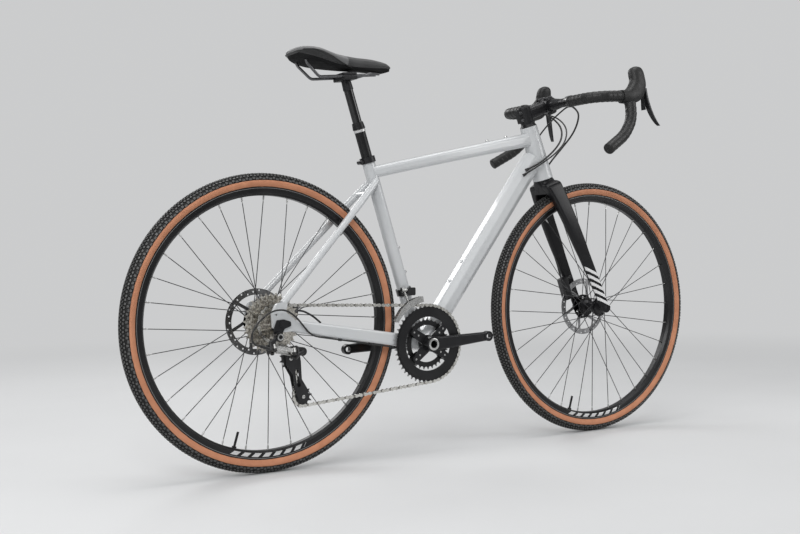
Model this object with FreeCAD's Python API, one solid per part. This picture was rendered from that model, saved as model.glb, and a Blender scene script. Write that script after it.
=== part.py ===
import FreeCAD, Part
import math
import os

from FreeCAD import Vector

# Gravel bike. Millimetres and degrees.
# +X points forward, +Y to the rider's left, +Z up.
# The origin is on the ground, midway between the two axles.

# Stance
wheelbase = 1015.0
bottom_bracket_drop = 70.0
chainstay_length = 430.0
seat_angle = 73.0
head_angle = 71.0
fork_rake = 45.0
crown_to_axle = 390.0

# Clearances
running_gap = 0.06
press_gap = 0.05
seat_gap = 0.3
moving_gap = 0.6

# Tyres and rims
tyre_radius = 352.0
tyre_half_width = 20.5
tyre_shoulder_height = 18.5
tread_thickness = 4.2
sidewall_thickness = 2.3
rim_radius = 317.5
rim_depth = 18.5
rim_half_width = 13.7
rim_wall = 2.2
rim_bed_depth = 6.0
bead_thickness = 2.0
valve_radius = 3.0
valve_length = 38.0

# Spokes and hubs
spokes_per_flange = 16
spoke_crossings = 3
spoke_radius = 1.0
nipple_radius = 2.0
nipple_length = 14.0
nipple_head_radius = 2.9
spoke_circle_radius = 22.5
flange_radius = 26.0
flange_thickness = 3.0
axle_radius = 6.0
hub_cap_radius = 9.5
hub_shell_radius = 11.0
front_hub_width = 100.0
front_flange_left = 20.0
front_flange_right = -33.0
rear_hub_width = 142.0
rear_flange_left = 32.0
rear_flange_right = -20.0

# Disc brakes
rotor_radius = 80.0
rotor_track = 15.0
rotor_thickness = 1.8
rotor_carrier_radius = 34.0
rotor_bore_radius = 16.5
rotor_arms = 6
rotor_slots = 30
front_rotor_y = 35.0
rear_rotor_y = 55.0
caliper_half_width = 9.5
caliper_slot = 6.4
caliper_low = 40.0
caliper_high = 102.0
caliper_depth = 26.0
caliper_back = 31.0
rear_caliper_near = 24.0
front_caliper_reach = 14.0
rear_caliper_reach = 15.2
pad_radius = 8.5
pad_thickness = 1.9

# Frame tubes
seat_tube_radius = 15.9
seat_tube_length = 489.0
post_radius = 13.6
head_tube_length = 150.0
head_top_radius = 23.5
head_bottom_radius = 28.0
top_tube_width = 34.0
top_tube_height_rear = 30.0
top_tube_height_front = 37.0
top_tube_drop_front = 33.0
top_tube_drop_rear = 38.0
down_tube_width = 50.0
down_tube_height = 52.0
down_tube_offset = 11.0
down_tube_angle = 52.6
shell_radius = 21.0
shell_half_width = 34.0
chainstay_height_front = 34.0
chainstay_height_rear = 28.0
chainstay_width = 16.0
seatstay_radius = 8.8
dropout_thickness = 10.0
boss_radius = 5.0
boss_height = 2.5
boss_thread_radius = 2.5
boss_spacing = 64.0

# Steering
upper_bearing_radius = 20.9
lower_bearing_radius = 26.0
bearing_height = 7.0
steerer_radius = 14.3
steerer_base_radius = 19.0
steerer_bore = 11.0
fork_end_thickness = 13.0
spacer_stack = 13.0
stem_length = 82.0
stem_rise = 21.0
stem_clamp_height = 40.0
stem_clamp_radius = 19.0
bar_clamp_radius = 15.9
bar_radius = 11.9
faceplate_radius = 21.5
faceplate_width = 46.0
tape_radius = 15.3
tape_start = 88.0
tape_hood_gap = 30.0
bar_wall = 2.4
hood_pivot_radius = 12.5

# Drivetrain
chain_pitch = 12.7
roller_radius = 3.85
chain_links = 112
chain_plane_y = -47.5
outer_ring_teeth = 48
inner_ring_teeth = 31
ring_spacing = 7.0
sprocket_teeth = (34, 30, 27, 25, 23, 21, 19, 17, 15, 13, 11)
chain_sprocket = 5
sprocket_spacing = 3.74
sprocket_thickness = 1.6
freehub_radius = 17.0
pulley_teeth = 11
pulley_pin_radius = 2.5
crank_length = 170.0
crank_angle = 4.0
pedal_thread_radius = 7.0
spindle_radius = 12.0
spindle_bore = 9.0
cup_radius = 21.5
cup_width = 10.4
cup_thread_radius = 17.2
cup_bearing_radius = 18.5
spider_angles = (38.0, 142.0, 218.0, 322.0)
outer_bolt_circle = 55.0
inner_bolt_circle = 40.0

# Seat
dropper_exposed = 73.0
dropper_travel = 75.0
stanchion_radius = 11.5
stanchion_exposed = 82.0
seal_head_radius = 16.0
seal_head_height = 17.0
saddle_length = 275.0
saddle_half_width = 72.0
saddle_setback = 18.0
rail_radius = 3.5
rail_spacing = 44.0

# Places worked out from the driving dimensions
UP = Vector(0, 0, 1)
LEFT = Vector(0, 1, 0)
FORWARD = Vector(1, 0, 0)


def tilted(angle):
    """Unit vector in the side view, at this many degrees above straight ahead."""
    turn = math.radians(angle)
    return Vector(math.cos(turn), 0, math.sin(turn))


rear_axle = Vector(-wheelbase / 2, 0, tyre_radius)
front_axle = Vector(wheelbase / 2, 0, tyre_radius)
stay_run = math.sqrt(chainstay_length ** 2 - bottom_bracket_drop ** 2)
crank_centre = rear_axle + Vector(stay_run, 0, -bottom_bracket_drop)
seat_direction = tilted(180.0 - seat_angle)
seat_top = crank_centre + seat_direction * seat_tube_length
steer_direction = tilted(180.0 - head_angle)
steer_forward = tilted(90.0 - head_angle)
steer_foot = front_axle - steer_forward * fork_rake
head_bottom = steer_foot + steer_direction * (crown_to_axle + 6.0)
head_top = head_bottom + steer_direction * head_tube_length
stem_middle = head_top + steer_direction * (spacer_stack + stem_clamp_height / 2)
bar_centre = stem_middle + tilted(stem_rise) * stem_length
outer_ring_y = chain_plane_y
inner_ring_y = chain_plane_y + ring_spacing
largest_sprocket_y = chain_plane_y + chain_sprocket * sprocket_spacing


# Shape helpers
def rod(start, end, radius):
    """Round bar between two points."""
    return Part.makeCylinder(radius, (end - start).Length, start, end - start)


def taper(start, end, start_radius, end_radius):
    """Round bar whose radius changes from one end to the other."""
    return Part.makeCone(start_radius, end_radius, (end - start).Length, start, end - start)


def sleeve(start, end, outer, inner):
    """Round tube between two points."""
    return rod(start, end, outer).cut(rod(start, end, inner))


def cross_rod(centre, low_y, high_y, radius):
    """Round bar across the bike, through a point of the side view."""
    return rod(Vector(centre.x, low_y, centre.z), Vector(centre.x, high_y, centre.z), radius)


def line(start, end):
    return Part.LineSegment(start, end).toShape()


def arc(start, middle, end):
    return Part.Arc(start, middle, end).toShape()


def corner(before, point, after, radius):
    """Start, middle and end of the round at one corner of a route or outline."""
    back = (before - point).normalize()
    ahead = (after - point).normalize()
    half = back.getAngle(ahead) / 2
    reach = radius / math.tan(half)
    inward = (back + ahead).normalize()
    middle = point + inward * (radius / math.sin(half) - radius)
    return point + back * reach, middle, point + ahead * reach


def corner_limit(before, point, after):
    """Largest corner radius that the two runs beside a point leave room for."""
    back = before - point
    ahead = after - point
    half = back.getAngle(ahead) / 2
    return 0.45 * min(back.Length, ahead.Length) * math.tan(half)


def rounded_outline(points, radius):
    """Closed flat wire through the points, each corner rounded."""
    count = len(points)
    rounds = []
    for i in range(count):
        near = (points[i - 1], points[i], points[(i + 1) % count])
        rounds.append(corner(*near, min(radius, corner_limit(*near))))
    edges = []
    for i in range(count):
        edges.append(arc(*rounds[i]))
        edges.append(line(rounds[i][2], rounds[(i + 1) % count][0]))
    return Part.Wire(edges)


def plate(outline, low_y, high_y, radius):
    """Flat plate in the side view, from (x, z) corners."""
    wire = rounded_outline([Vector(x, low_y, z) for x, z in outline], radius)
    return Part.Face(wire).extrude(Vector(0, high_y - low_y, 0))


def box_section(centre, across, up, width, height, radius):
    """Rounded rectangle around a centre, in the plane of two directions."""
    half_w = across * (width / 2)
    half_h = up * (height / 2)
    return rounded_outline([centre - half_w - half_h, centre + half_w - half_h,
                            centre + half_w + half_h, centre - half_w + half_h], radius)


def loft(sections, ruled=False):
    return Part.makeLoft(sections, True, ruled)


def turned(profile, centre):
    """Solid of revolution about an axle, from (radius, y) corners."""
    points = [centre + Vector(r, y, 0) for r, y in profile]
    face = Part.Face(Part.makePolygon(points + points[:1]))
    return face.revolve(centre, LEFT, 360)


def joined(solids):
    return solids[0].multiFuse(solids[1:])


def mirrored(shape):
    """Copy on the other side of the bike."""
    return shape.mirror(Vector(0, 0, 0), LEFT)


def spun(shape, centre, angle):
    """Copy turned about an axle by an angle, forward-rolling when positive."""
    copy = shape.copy()
    copy.rotate(centre, LEFT, angle)
    return copy


def bent_path(points, radii):
    """Straight runs joined by tangent arcs; radii belong to the inner points."""
    edges = []
    start = points[0]
    for i, radius in enumerate(radii, 1):
        first, middle, last = corner(points[i - 1], points[i], points[i + 1], radius)
        edges += [line(start, first), arc(first, middle, last)]
        start = last
    edges.append(line(start, points[-1]))
    return Part.Wire(edges)


def bent_rod(points, radii, radius):
    """Round bar along a bent path."""
    path = bent_path(points, radii)
    circle = Part.Wire(Part.makeCircle(radius, points[0], points[1] - points[0]))
    return path.makePipeShell([circle], True, False)


def cable(points, radius, name):
    """Cable along hand-chosen points, with bends as wide as the runs allow."""
    radii = [corner_limit(*points[i - 1:i + 2]) for i in range(1, len(points) - 1)]
    solid = bent_rod(points, radii, radius)
    length = solid.Volume / (math.pi * radius ** 2)
    print(f"{name}: {length:.0f} mm long, bends {', '.join(f'{r:.0f}' for r in radii)}")
    return solid


# Wheels
def tyre(centre):
    """Casing and tread as one hollow ring, open at the beads."""
    bead_y = rim_half_width - rim_wall - press_gap
    bead_low = rim_radius - rim_bed_depth + seat_gap
    lip = rim_radius + seat_gap
    shoulder = tyre_radius - tyre_shoulder_height

    def at(r, y):
        return centre + Vector(r, y, 0)

    def half_profile(side):
        outer_wall = side * tyre_half_width
        inner_wall = side * (tyre_half_width - sidewall_thickness)
        bead = side * bead_y
        inner_bead = side * (bead_y - bead_thickness)
        flare = side * (rim_half_width - 0.4)
        outside = [line(at(bead_low, bead), at(lip, bead)),
                   line(at(lip, bead), at(lip + 1.0, flare)),
                   arc(at(lip + 1.0, flare), at((lip + shoulder) / 2, outer_wall * 0.9),
                       at(shoulder, outer_wall))]
        inside = [arc(at(shoulder, inner_wall), at((lip + shoulder) / 2 + 0.5, inner_wall * 0.9),
                      at(lip + 2.0, side * (bead_y - bead_thickness + 1.0))),
                  line(at(lip + 2.0, side * (bead_y - bead_thickness + 1.0)), at(bead_low, inner_bead)),
                  line(at(bead_low, inner_bead), at(bead_low, bead))]
        return outside, inside

    left_out, left_in = half_profile(1)
    right_out, right_in = half_profile(-1)
    tread = arc(at(shoulder, tyre_half_width), at(tyre_radius, 0), at(shoulder, -tyre_half_width))
    inner_half = tyre_half_width - sidewall_thickness
    lining = arc(at(shoulder, inner_half), at(tyre_radius - tread_thickness, 0), at(shoulder, -inner_half))
    edges = Part.__sortEdges__(left_out + left_in + right_out + right_in + [tread, lining])
    face = Part.Face(Part.Wire(edges))
    return face.revolve(centre, LEFT, 360)


def spoke_ends(flange_y, side, outward, angle):
    """Bend at the flange and tip in the rim, for one spoke of a wheel at the origin."""
    sweep = spoke_crossings * 360.0 / spokes_per_flange * (1 if outward else -1)
    lean = side if outward else -side
    start_y = flange_y + lean * (flange_thickness / 2 + spoke_radius + moving_gap)
    tip_radius = rim_radius - rim_depth + rim_wall + 2.2
    hole = math.radians(angle)
    tip = math.radians(angle + sweep)
    start = Vector(spoke_circle_radius * math.cos(hole), start_y, spoke_circle_radius * math.sin(hole))
    end = Vector(tip_radius * math.cos(tip), side * 2.0, tip_radius * math.sin(tip))
    return start, end, lean


def spoke(start, end, lean, flange_y):
    """Wire spoke with its elbow through the flange and its head behind it."""
    behind = flange_y - lean * (flange_thickness / 2 + press_gap)
    elbow = Vector(start.x, behind, start.z)
    head = Vector(start.x, behind - lean * 1.2, start.z)
    run = (end - start).normalize()
    return joined([rod(start, end - run * 0.5, spoke_radius), Part.makeSphere(spoke_radius, start),
                   rod(elbow, start, spoke_radius), rod(head, elbow, spoke_radius * 1.9)])


def nipple(start, end):
    run = (end - start).normalize()
    body = rod(end - run * nipple_length, end, nipple_radius)
    head = rod(end - run * 1.4, end + run * 0.6, nipple_head_radius)
    bore = rod(end - run * nipple_length, end + run * 0.6, spoke_radius + press_gap)
    return body.fuse(head).cut(bore)


def laced_wheel(centre, flange_left, flange_right):
    """Spokes with their nipples, the rim drilled for them, and the flange holes."""
    spokes = []
    rim_holes = []
    flange_holes = []
    step = 360.0 / spokes_per_flange
    for side, flange_y, offset in ((1, flange_left, 0.0), (-1, flange_right, step / 2)):
        for outward in (True, False):
            angle = offset + (0.0 if outward else step)
            start, end, lean = spoke_ends(flange_y, side, outward, angle)
            run = (end - start).normalize()
            wire = spoke(start, end, lean, flange_y)
            sleeve_nut = nipple(start, end)
            rim_hole = rod(end - run * 7.0, end - run * 0.5, nipple_radius + seat_gap)
            flange_hole = cross_rod(start, flange_y - flange_thickness, flange_y + flange_thickness,
                                    spoke_radius + press_gap)
            for i in range(spokes_per_flange // 2):
                turn = 2 * step * i
                spokes += [spun(wire, Vector(), turn), spun(sleeve_nut, Vector(), turn)]
                rim_holes.append(spun(rim_hole, Vector(), turn))
                flange_holes.append(spun(flange_hole, Vector(), turn))
    for shape in spokes + rim_holes + flange_holes:
        shape.translate(centre)
    return spokes, rim_holes, flange_holes


def rim(centre, holes):
    """Hollow box-section rim with a tyre well, and its valve."""
    inner = rim_radius - rim_depth
    bed = rim_radius - rim_bed_depth
    well = bed - 2.5
    well_y = 5.0
    channel_y = rim_half_width - rim_wall
    base_y = 7.0
    right_side = [(inner, -base_y), (inner + 4.5, -rim_half_width + 0.7), (inner + 7.0, -rim_half_width),
                  (rim_radius - 0.5, -rim_half_width), (rim_radius, -rim_half_width + 0.5),
                  (rim_radius, -channel_y), (bed, -channel_y), (well + 0.6, -well_y - 2.0), (well, -well_y)]
    profile = right_side + [(r, -y) for r, y in reversed(right_side)]
    room = [(inner + rim_wall, -base_y), (inner + 4.5 + rim_wall, -channel_y),
            (bed - rim_wall, -channel_y), (well - rim_wall, -well_y - 1.0)]
    chamber = room + [(r, -y) for r, y in reversed(room)]
    ring = turned(profile, centre).cut(turned(chamber, centre)).cut(holes)
    foot = centre + Vector(0, 0, -inner + seat_gap)
    stem = rod(foot, foot + UP * valve_length, valve_radius)
    nut = rod(foot, foot + UP * 4.0, valve_radius * 1.8)
    return [ring, spun(joined([stem, nut]), centre, 180.0 / spokes_per_flange / 2 * 3)]


def rotor(centre, y):
    """Brake disc: slotted track, slanted arms and a splined carrier."""
    half = rotor_thickness / 2

    def ring(outer, inner):
        return sleeve(centre + LEFT * (y - half), centre + LEFT * (y + half), outer, inner)

    inner_track = rotor_radius - rotor_track
    disc = [ring(rotor_radius, inner_track), ring(rotor_carrier_radius, rotor_bore_radius)]
    arm_width = 9.0
    slant = 22.0
    arm = plate([(rotor_carrier_radius - 3.0, -arm_width / 2), (inner_track + 3.0, -arm_width / 2 + slant),
                 (inner_track + 3.0, arm_width / 2 + slant), (rotor_carrier_radius - 3.0, arm_width / 2)],
                y - half, y + half, 1.0)
    arm.translate(centre)
    slot_radius = 2.1
    slot = cross_rod(Vector(), y - rotor_thickness, y + rotor_thickness, slot_radius)
    slots = []
    for i in range(rotor_slots):
        reach = inner_track + rotor_track * (0.28, 0.5, 0.72)[i % 3]
        hole = slot.copy()
        hole.translate(centre + FORWARD * reach)
        slots.append(spun(hole, centre, 360.0 / rotor_slots * i))
    disc += [spun(arm, centre, 360.0 / rotor_arms * i) for i in range(rotor_arms)]
    carrier_hole = cross_rod(centre + FORWARD * (rotor_carrier_radius + rotor_bore_radius) / 2,
                             y - rotor_thickness, y + rotor_thickness, 3.6)
    slots += [spun(carrier_hole, centre, 360.0 / rotor_arms * (i + 0.5)) for i in range(rotor_arms)]
    return joined(disc).cut(slots)


def rotor_seat(y):
    """Hub profile corners where the disc sits between its shoulder and lock ring."""
    seat = rotor_bore_radius - press_gap
    shoulder = rotor_bore_radius + 2.5
    inner_face = y - rotor_thickness / 2 - press_gap
    outer_face = y + rotor_thickness / 2 + press_gap
    return [(shoulder, inner_face - 2.0), (shoulder, inner_face), (seat, inner_face), (seat, outer_face),
            (shoulder, outer_face), (shoulder, outer_face + 2.5), (hub_cap_radius + 2.0, outer_face + 4.0)]


def flange_profile(y, shell):
    half = flange_thickness / 2
    flat = spoke_circle_radius - 4.0
    return [(shell, y - half - 3.0), (flat, y - half), (flange_radius, y - half), (flange_radius, y + half),
            (flat, y + half), (shell, y + half + 3.0)]


def front_hub(flange_holes):
    bore = axle_radius + running_gap
    end = front_hub_width / 2 - seat_gap
    profile = [(bore, -end), (hub_cap_radius, -end), (hub_cap_radius, -end + 8.0), (hub_shell_radius, -end + 9.0)]
    profile += flange_profile(front_flange_right, hub_shell_radius)
    profile += flange_profile(front_flange_left, hub_shell_radius)
    profile += rotor_seat(front_rotor_y)
    profile += [(hub_cap_radius, front_rotor_y + 7.0), (hub_cap_radius, end), (bore, end)]
    return turned(profile, front_axle).cut(flange_holes)


def freehub_start():
    return largest_sprocket_y + sprocket_thickness / 2 + 1.0


def rear_hub(flange_holes):
    bore = axle_radius + running_gap
    end = rear_hub_width / 2 - seat_gap
    profile = [(bore, freehub_start() + seat_gap), (hub_shell_radius + 4.0, freehub_start() + seat_gap)]
    profile += flange_profile(rear_flange_right, hub_shell_radius + 4.0)
    profile += flange_profile(rear_flange_left, hub_shell_radius)
    profile += rotor_seat(rear_rotor_y)
    profile += [(hub_cap_radius, rear_rotor_y + 7.0), (hub_cap_radius, end), (bore, end)]
    return turned(profile, rear_axle).cut(flange_holes)


# Chain drive
def pitch_radius(teeth):
    return chain_pitch / (2 * math.sin(math.pi / teeth))


def toothed_wheel(centre, teeth, y, thickness, phase, bore):
    """Sprocket whose tooth gaps hold rollers at the phase angle and every pitch from it."""
    radius = pitch_radius(teeth)
    seat_radius = roller_radius + 0.15
    tip_height = 3.2
    tip_half_width = 0.8
    seat_angle_each_side = math.radians(65)

    def radial(angle):
        return Vector(math.cos(angle), 0, math.sin(angle)), Vector(-math.sin(angle), 0, math.cos(angle))

    hub = Vector(centre.x, y - thickness / 2, centre.z)
    seats = []
    tips = []
    for i in range(teeth):
        angle = phase + 2 * math.pi * i / teeth
        out, along = radial(angle)
        middle = hub + out * radius
        side = along * (seat_radius * math.sin(seat_angle_each_side))
        depth = out * (-seat_radius * math.cos(seat_angle_each_side))
        seats.append((middle + depth - side, middle - out * seat_radius, middle + depth + side))
        out, along = radial(angle + math.pi / teeth)
        tip = hub + out * (radius + tip_height)
        tips.append((tip - along * tip_half_width, tip + along * tip_half_width))
    edges = []
    for i in range(teeth):
        following = seats[(i + 1) % teeth]
        edges += [arc(*seats[i]), line(seats[i][2], tips[i][0]), line(*tips[i]), line(tips[i][1], following[0])]
    blank = Part.Face(Part.Wire(edges)).extrude(LEFT * thickness)
    return blank.cut(cross_rod(centre, y - thickness, y + thickness, bore))


class Chain:
    """Route of the chain round four toothed wheels, in the side view.

    Each wheel is (centre, teeth, sense); sense is 1 where forward pedalling turns it forward.
    """

    def __init__(self, wheels):
        self.spans = []
        circles = [(c.x, c.z, pitch_radius(teeth), sense) for c, teeth, sense in wheels]
        runs = [self.run(circles[i], circles[(i + 1) % len(circles)]) for i in range(len(circles))]
        self.length = 0.0
        for i, (leave, meet) in enumerate(runs):
            self.add(math.dist(leave, meet), self.straight(leave, meet))
            circle = circles[(i + 1) % len(circles)]
            departure = runs[(i + 1) % len(circles)][0]
            self.add(*self.wrap(circle, meet, departure))

    def add(self, length, place):
        self.spans.append((self.length, length, place))
        self.length += length

    @staticmethod
    def run(first, second):
        """Where the chain leaves one wheel and meets the next."""
        dx, dz = second[0] - first[0], second[1] - first[1]
        apart = math.hypot(dx, dz)
        offset = second[3] * second[2] - first[3] * first[2]
        free = math.sqrt(apart ** 2 - offset ** 2)
        tx = (free * dx - offset * dz) / apart ** 2
        tz = (free * dz + offset * dx) / apart ** 2
        ends = []
        for x, z, radius, sense in (first, second):
            ends.append((x - sense * radius * tz, z + sense * radius * tx))
        return ends

    @staticmethod
    def straight(leave, meet):
        length = math.dist(leave, meet)
        return lambda s: (leave[0] + (meet[0] - leave[0]) * s / length,
                          leave[1] + (meet[1] - leave[1]) * s / length)

    @staticmethod
    def wrap(circle, meet, departure):
        x, z, radius, sense = circle
        first = math.atan2(meet[1] - z, meet[0] - x)
        last = math.atan2(departure[1] - z, departure[0] - x)
        sweep = (sense * (first - last)) % (2 * math.pi)

        def place(s):
            angle = first - sense * s / radius
            return x + radius * math.cos(angle), z + radius * math.sin(angle)

        return sweep * radius, place

    def point(self, s):
        s %= self.length
        for start, length, place in self.spans:
            if s <= start + length:
                return place(s - start)
        return self.spans[0][2](0.0)

    def pins(self, count):
        """Pin places one pitch apart, and how far the last pitch overshoots the loop."""
        places = [self.point(0.0)]
        s = 0.0
        for _ in range(count):
            low, high = s + chain_pitch * 0.99, s + chain_pitch * 1.06
            for _ in range(50):
                middle = (low + high) / 2
                if math.dist(self.point(middle), places[-1]) < chain_pitch:
                    low = middle
                else:
                    high = middle
            s = high
            places.append(self.point(s))
        return places[:-1], s - self.length


# Rear derailleur places
hanger_bolt = rear_axle + Vector(-11.5, 0, -28.0)
cage_pivot = rear_axle + Vector(45.5, 0, -64.0)
guide_offset = Vector(-12.0, 0, -18.0)
tension_offset = Vector(9.0, 0, -112.0)


def cage_places(turn):
    """Centres of the two pulleys with the cage turned by an angle."""
    spin = FreeCAD.Rotation(LEFT, turn)
    return cage_pivot + spin.multVec(guide_offset), cage_pivot + spin.multVec(tension_offset)


def drive_chain(turn):
    guide, tension = cage_places(turn)
    return Chain([(rear_axle, sprocket_teeth[chain_sprocket], 1), (crank_centre, outer_ring_teeth, 1),
                  (tension, pulley_teeth, 1), (guide, pulley_teeth, -1)])


def settled_cage():
    """Cage angle at which the chain's links just close the loop."""
    low, high = -45.0, 45.0
    for _ in range(40):
        middle = (low + high) / 2
        overshoot = drive_chain(middle).pins(chain_links)[1]
        if overshoot > 0:
            low = middle
        else:
            high = middle
    return (low + high) / 2


def link_plate(low_y, high_y, end_radius, waist):
    """One figure-eight side plate, from a pin at the origin to the next along X."""
    turn = math.radians(50)
    x, z = end_radius * math.cos(turn), end_radius * math.sin(turn)
    middle = chain_pitch / 2
    edges = [arc(Vector(x, low_y, z), Vector(middle, low_y, waist), Vector(chain_pitch - x, low_y, z)),
             arc(Vector(chain_pitch - x, low_y, z), Vector(chain_pitch + end_radius, low_y, 0),
                 Vector(chain_pitch - x, low_y, -z)),
             arc(Vector(chain_pitch - x, low_y, -z), Vector(middle, low_y, -waist), Vector(x, low_y, -z)),
             arc(Vector(x, low_y, -z), Vector(-end_radius, low_y, 0), Vector(x, low_y, z))]
    return Part.Face(Part.Wire(edges)).extrude(LEFT * (high_y - low_y))


inner_plate_y = 1.12
plate_thickness = 0.7
plate_gap = 0.1
pin_radius = 1.75


def inner_link():
    """Two inner plates on two rollers, bored for the pins."""
    outer_face = inner_plate_y + plate_thickness
    pieces = [link_plate(inner_plate_y, outer_face, 4.0, 2.6), link_plate(-outer_face, -inner_plate_y, 4.0, 2.6)]
    pieces += [cross_rod(Vector(x, 0, 0), -inner_plate_y, inner_plate_y, roller_radius) for x in (0, chain_pitch)]
    bores = [cross_rod(Vector(x, 0, 0), -outer_face, outer_face, pin_radius + 0.12) for x in (0, chain_pitch)]
    return joined(pieces).cut(bores)


def outer_link():
    """Two outer plates on two pins."""
    inner_face = inner_plate_y + plate_thickness + plate_gap
    outer_face = inner_face + plate_thickness
    pieces = [link_plate(inner_face, outer_face, 4.2, 2.7), link_plate(-outer_face, -inner_face, 4.2, 2.7)]
    pieces += [cross_rod(Vector(x, 0, 0), -outer_face, outer_face, pin_radius) for x in (0, chain_pitch)]
    return joined(pieces)


def chain(pins):
    """Inner and outer links in turn, each from one pin to the next."""
    kinds = (inner_link(), outer_link())
    links = []
    for i, (x, z) in enumerate(pins):
        next_x, next_z = pins[(i + 1) % len(pins)]
        turn = math.degrees(math.atan2(z - next_z, next_x - x))
        link = kinds[i % 2].copy()
        link.Placement = FreeCAD.Placement(Vector(x, chain_plane_y, z), FreeCAD.Rotation(LEFT, turn))
        links.append(link)
    return links


def roller_phase(pins, centre, teeth):
    """Angle of a roller that sits on this wheel."""
    radius = pitch_radius(teeth)
    seated = [(x, z) for x, z in pins if abs(math.hypot(x - centre.x, z - centre.z) - radius) < 0.01]
    x, z = seated[len(seated) // 2]
    return math.atan2(z - centre.z, x - centre.x)


def cassette(phase):
    """Eleven sprockets on the freehub body, held by a lock ring."""
    bore = freehub_radius + press_gap
    pieces = []
    for i, teeth in enumerate(sprocket_teeth):
        y = largest_sprocket_y - i * sprocket_spacing
        turn = phase if i == chain_sprocket else 0.0
        sprocket = toothed_wheel(rear_axle, teeth, y, sprocket_thickness, turn, bore)
        web = pitch_radius(teeth) - roller_radius - freehub_radius
        if web > 22.0:
            hole = cross_rod(rear_axle + FORWARD * (freehub_radius + web * 0.52), y - sprocket_thickness,
                             y + sprocket_thickness, web * 0.24)
            sprocket = sprocket.cut([spun(hole, rear_axle, 360.0 / 9 * (n + i / 3)) for n in range(9)])
        pieces.append(sprocket)
        if i:
            spacer_low = y + sprocket_thickness / 2
            spacer_high = y + sprocket_spacing - sprocket_thickness / 2
            pieces.append(sleeve(rear_axle + LEFT * spacer_low, rear_axle + LEFT * spacer_high,
                                 freehub_radius + 1.2, bore))
    smallest = largest_sprocket_y - (len(sprocket_teeth) - 1) * sprocket_spacing
    body_end = smallest - sprocket_thickness / 2
    end = -rear_hub_width / 2 + seat_gap
    axle_bore = axle_radius + running_gap
    body = turned([(axle_bore, freehub_start()), (freehub_radius + 1.5, freehub_start()),
                   (freehub_radius + 1.5, largest_sprocket_y + sprocket_thickness / 2),
                   (freehub_radius, largest_sprocket_y + sprocket_thickness / 2), (freehub_radius, body_end),
                   (freehub_radius + 0.8, body_end), (freehub_radius + 0.8, body_end - 1.6),
                   (hub_cap_radius + 1.5, body_end - 1.8), (hub_cap_radius + 1.5, end), (axle_bore, end)], rear_axle)
    return pieces + [body]


# Cranks
def crank_arm():
    """Right arm with its spider and hollow spindle, pointing straight ahead of the origin."""
    hub_outer, hub_inner = -74.0, -shell_half_width - cup_width - moving_gap
    arm = loft([box_section(Vector(2, -66.5, 0), LEFT, UP, 13.0, 36.0, 5.0),
                box_section(Vector(70, -67.5, 0), LEFT, UP, 13.0, 30.0, 5.0),
                box_section(Vector(crank_length, -69.5, 0), LEFT, UP, 12.0, 23.0, 5.0)])
    centre = Vector()
    eye = Vector(crank_length, 0, 0)
    spider_low, spider_high = outer_ring_y - 8.0, outer_ring_y - 2.2
    pieces = [arm, cross_rod(centre, hub_outer, hub_inner, 19.5), cross_rod(eye, -76.5, -62.5, 13.0)]
    limb = plate([(12.0, -13.0), (outer_bolt_circle + 8.0, -8.5), (outer_bolt_circle + 8.0, 8.5), (12.0, 13.0)],
                 spider_low, spider_high, 6.0)
    post = cross_rod(FORWARD * inner_bolt_circle, spider_high - 1.0, inner_ring_y - 1.4, 6.0)
    spindle_end = shell_half_width + cup_width + 27.0
    pieces += [spun(limb, centre, -angle) for angle in spider_angles]
    pieces += [spun(post, centre, -angle) for angle in spider_angles]
    pieces.append(cross_rod(centre, hub_inner, spindle_end, spindle_radius))
    holes = [cross_rod(centre, hub_outer - 1.0, spindle_end + 1.0, spindle_bore),
             cross_rod(eye, -80.0, -60.0, pedal_thread_radius)]
    for angle in spider_angles:
        for circle in (outer_bolt_circle, inner_bolt_circle):
            holes.append(spun(cross_rod(FORWARD * circle, spider_low - 1.0, inner_ring_y, 2.6), centre, -angle))
    return joined(pieces).cut(holes)


def left_crank_arm():
    """Left arm, pointing straight back from the origin, clamped on the spindle."""
    hub_inner = shell_half_width + cup_width + moving_gap
    hub_outer = shell_half_width + cup_width + 28.0
    arm = loft([box_section(Vector(-2, 64.5, 0), LEFT, UP, 14.0, 36.0, 5.0),
                box_section(Vector(-70, 67.0, 0), LEFT, UP, 13.0, 30.0, 5.0),
                box_section(Vector(-crank_length, 69.5, 0), LEFT, UP, 12.0, 23.0, 5.0)])
    eye = Vector(-crank_length, 0, 0)
    pieces = [arm, cross_rod(Vector(), hub_inner, hub_outer, 18.5), cross_rod(eye, 62.5, 76.5, 13.0)]
    holes = [cross_rod(Vector(), hub_inner - 1.0, hub_outer + 1.0, spindle_radius + press_gap),
             cross_rod(eye, 60.0, 80.0, pedal_thread_radius)]
    return joined(pieces).cut(holes)


def on_crank(shape):
    """Turn a crank piece to its angle and carry it to the bottom bracket."""
    placed = spun(shape, Vector(), -crank_angle)
    placed.translate(crank_centre)
    return placed


def chainring(teeth, y, phase, body_inner, bolt_circle, thickness):
    """Toothed ring with a thicker body and four bolt tabs."""
    root = pitch_radius(teeth) - roller_radius - 1.0
    teeth_ring = toothed_wheel(crank_centre, teeth, y, sprocket_thickness, phase, body_inner)
    half = thickness / 2
    body = sleeve(crank_centre + LEFT * (y - half), crank_centre + LEFT * (y + half), root - 2.0, body_inner)
    tab = cross_rod(FORWARD * bolt_circle, y - half, y + half, 8.5)
    bridge = plate([(bolt_circle, -8.5), (body_inner + 4.0, -12.0), (body_inner + 4.0, 12.0), (bolt_circle, 8.5)],
                   y - half, y + half, 1.0)
    hole = cross_rod(FORWARD * bolt_circle, y - thickness, y + thickness, 4.1)
    tabs = [on_crank(spun(part, Vector(), -angle)) for angle in spider_angles for part in (tab, bridge)]
    holes = [on_crank(spun(hole, Vector(), -angle)) for angle in spider_angles]
    return joined([teeth_ring, body] + tabs).cut(holes)


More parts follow.
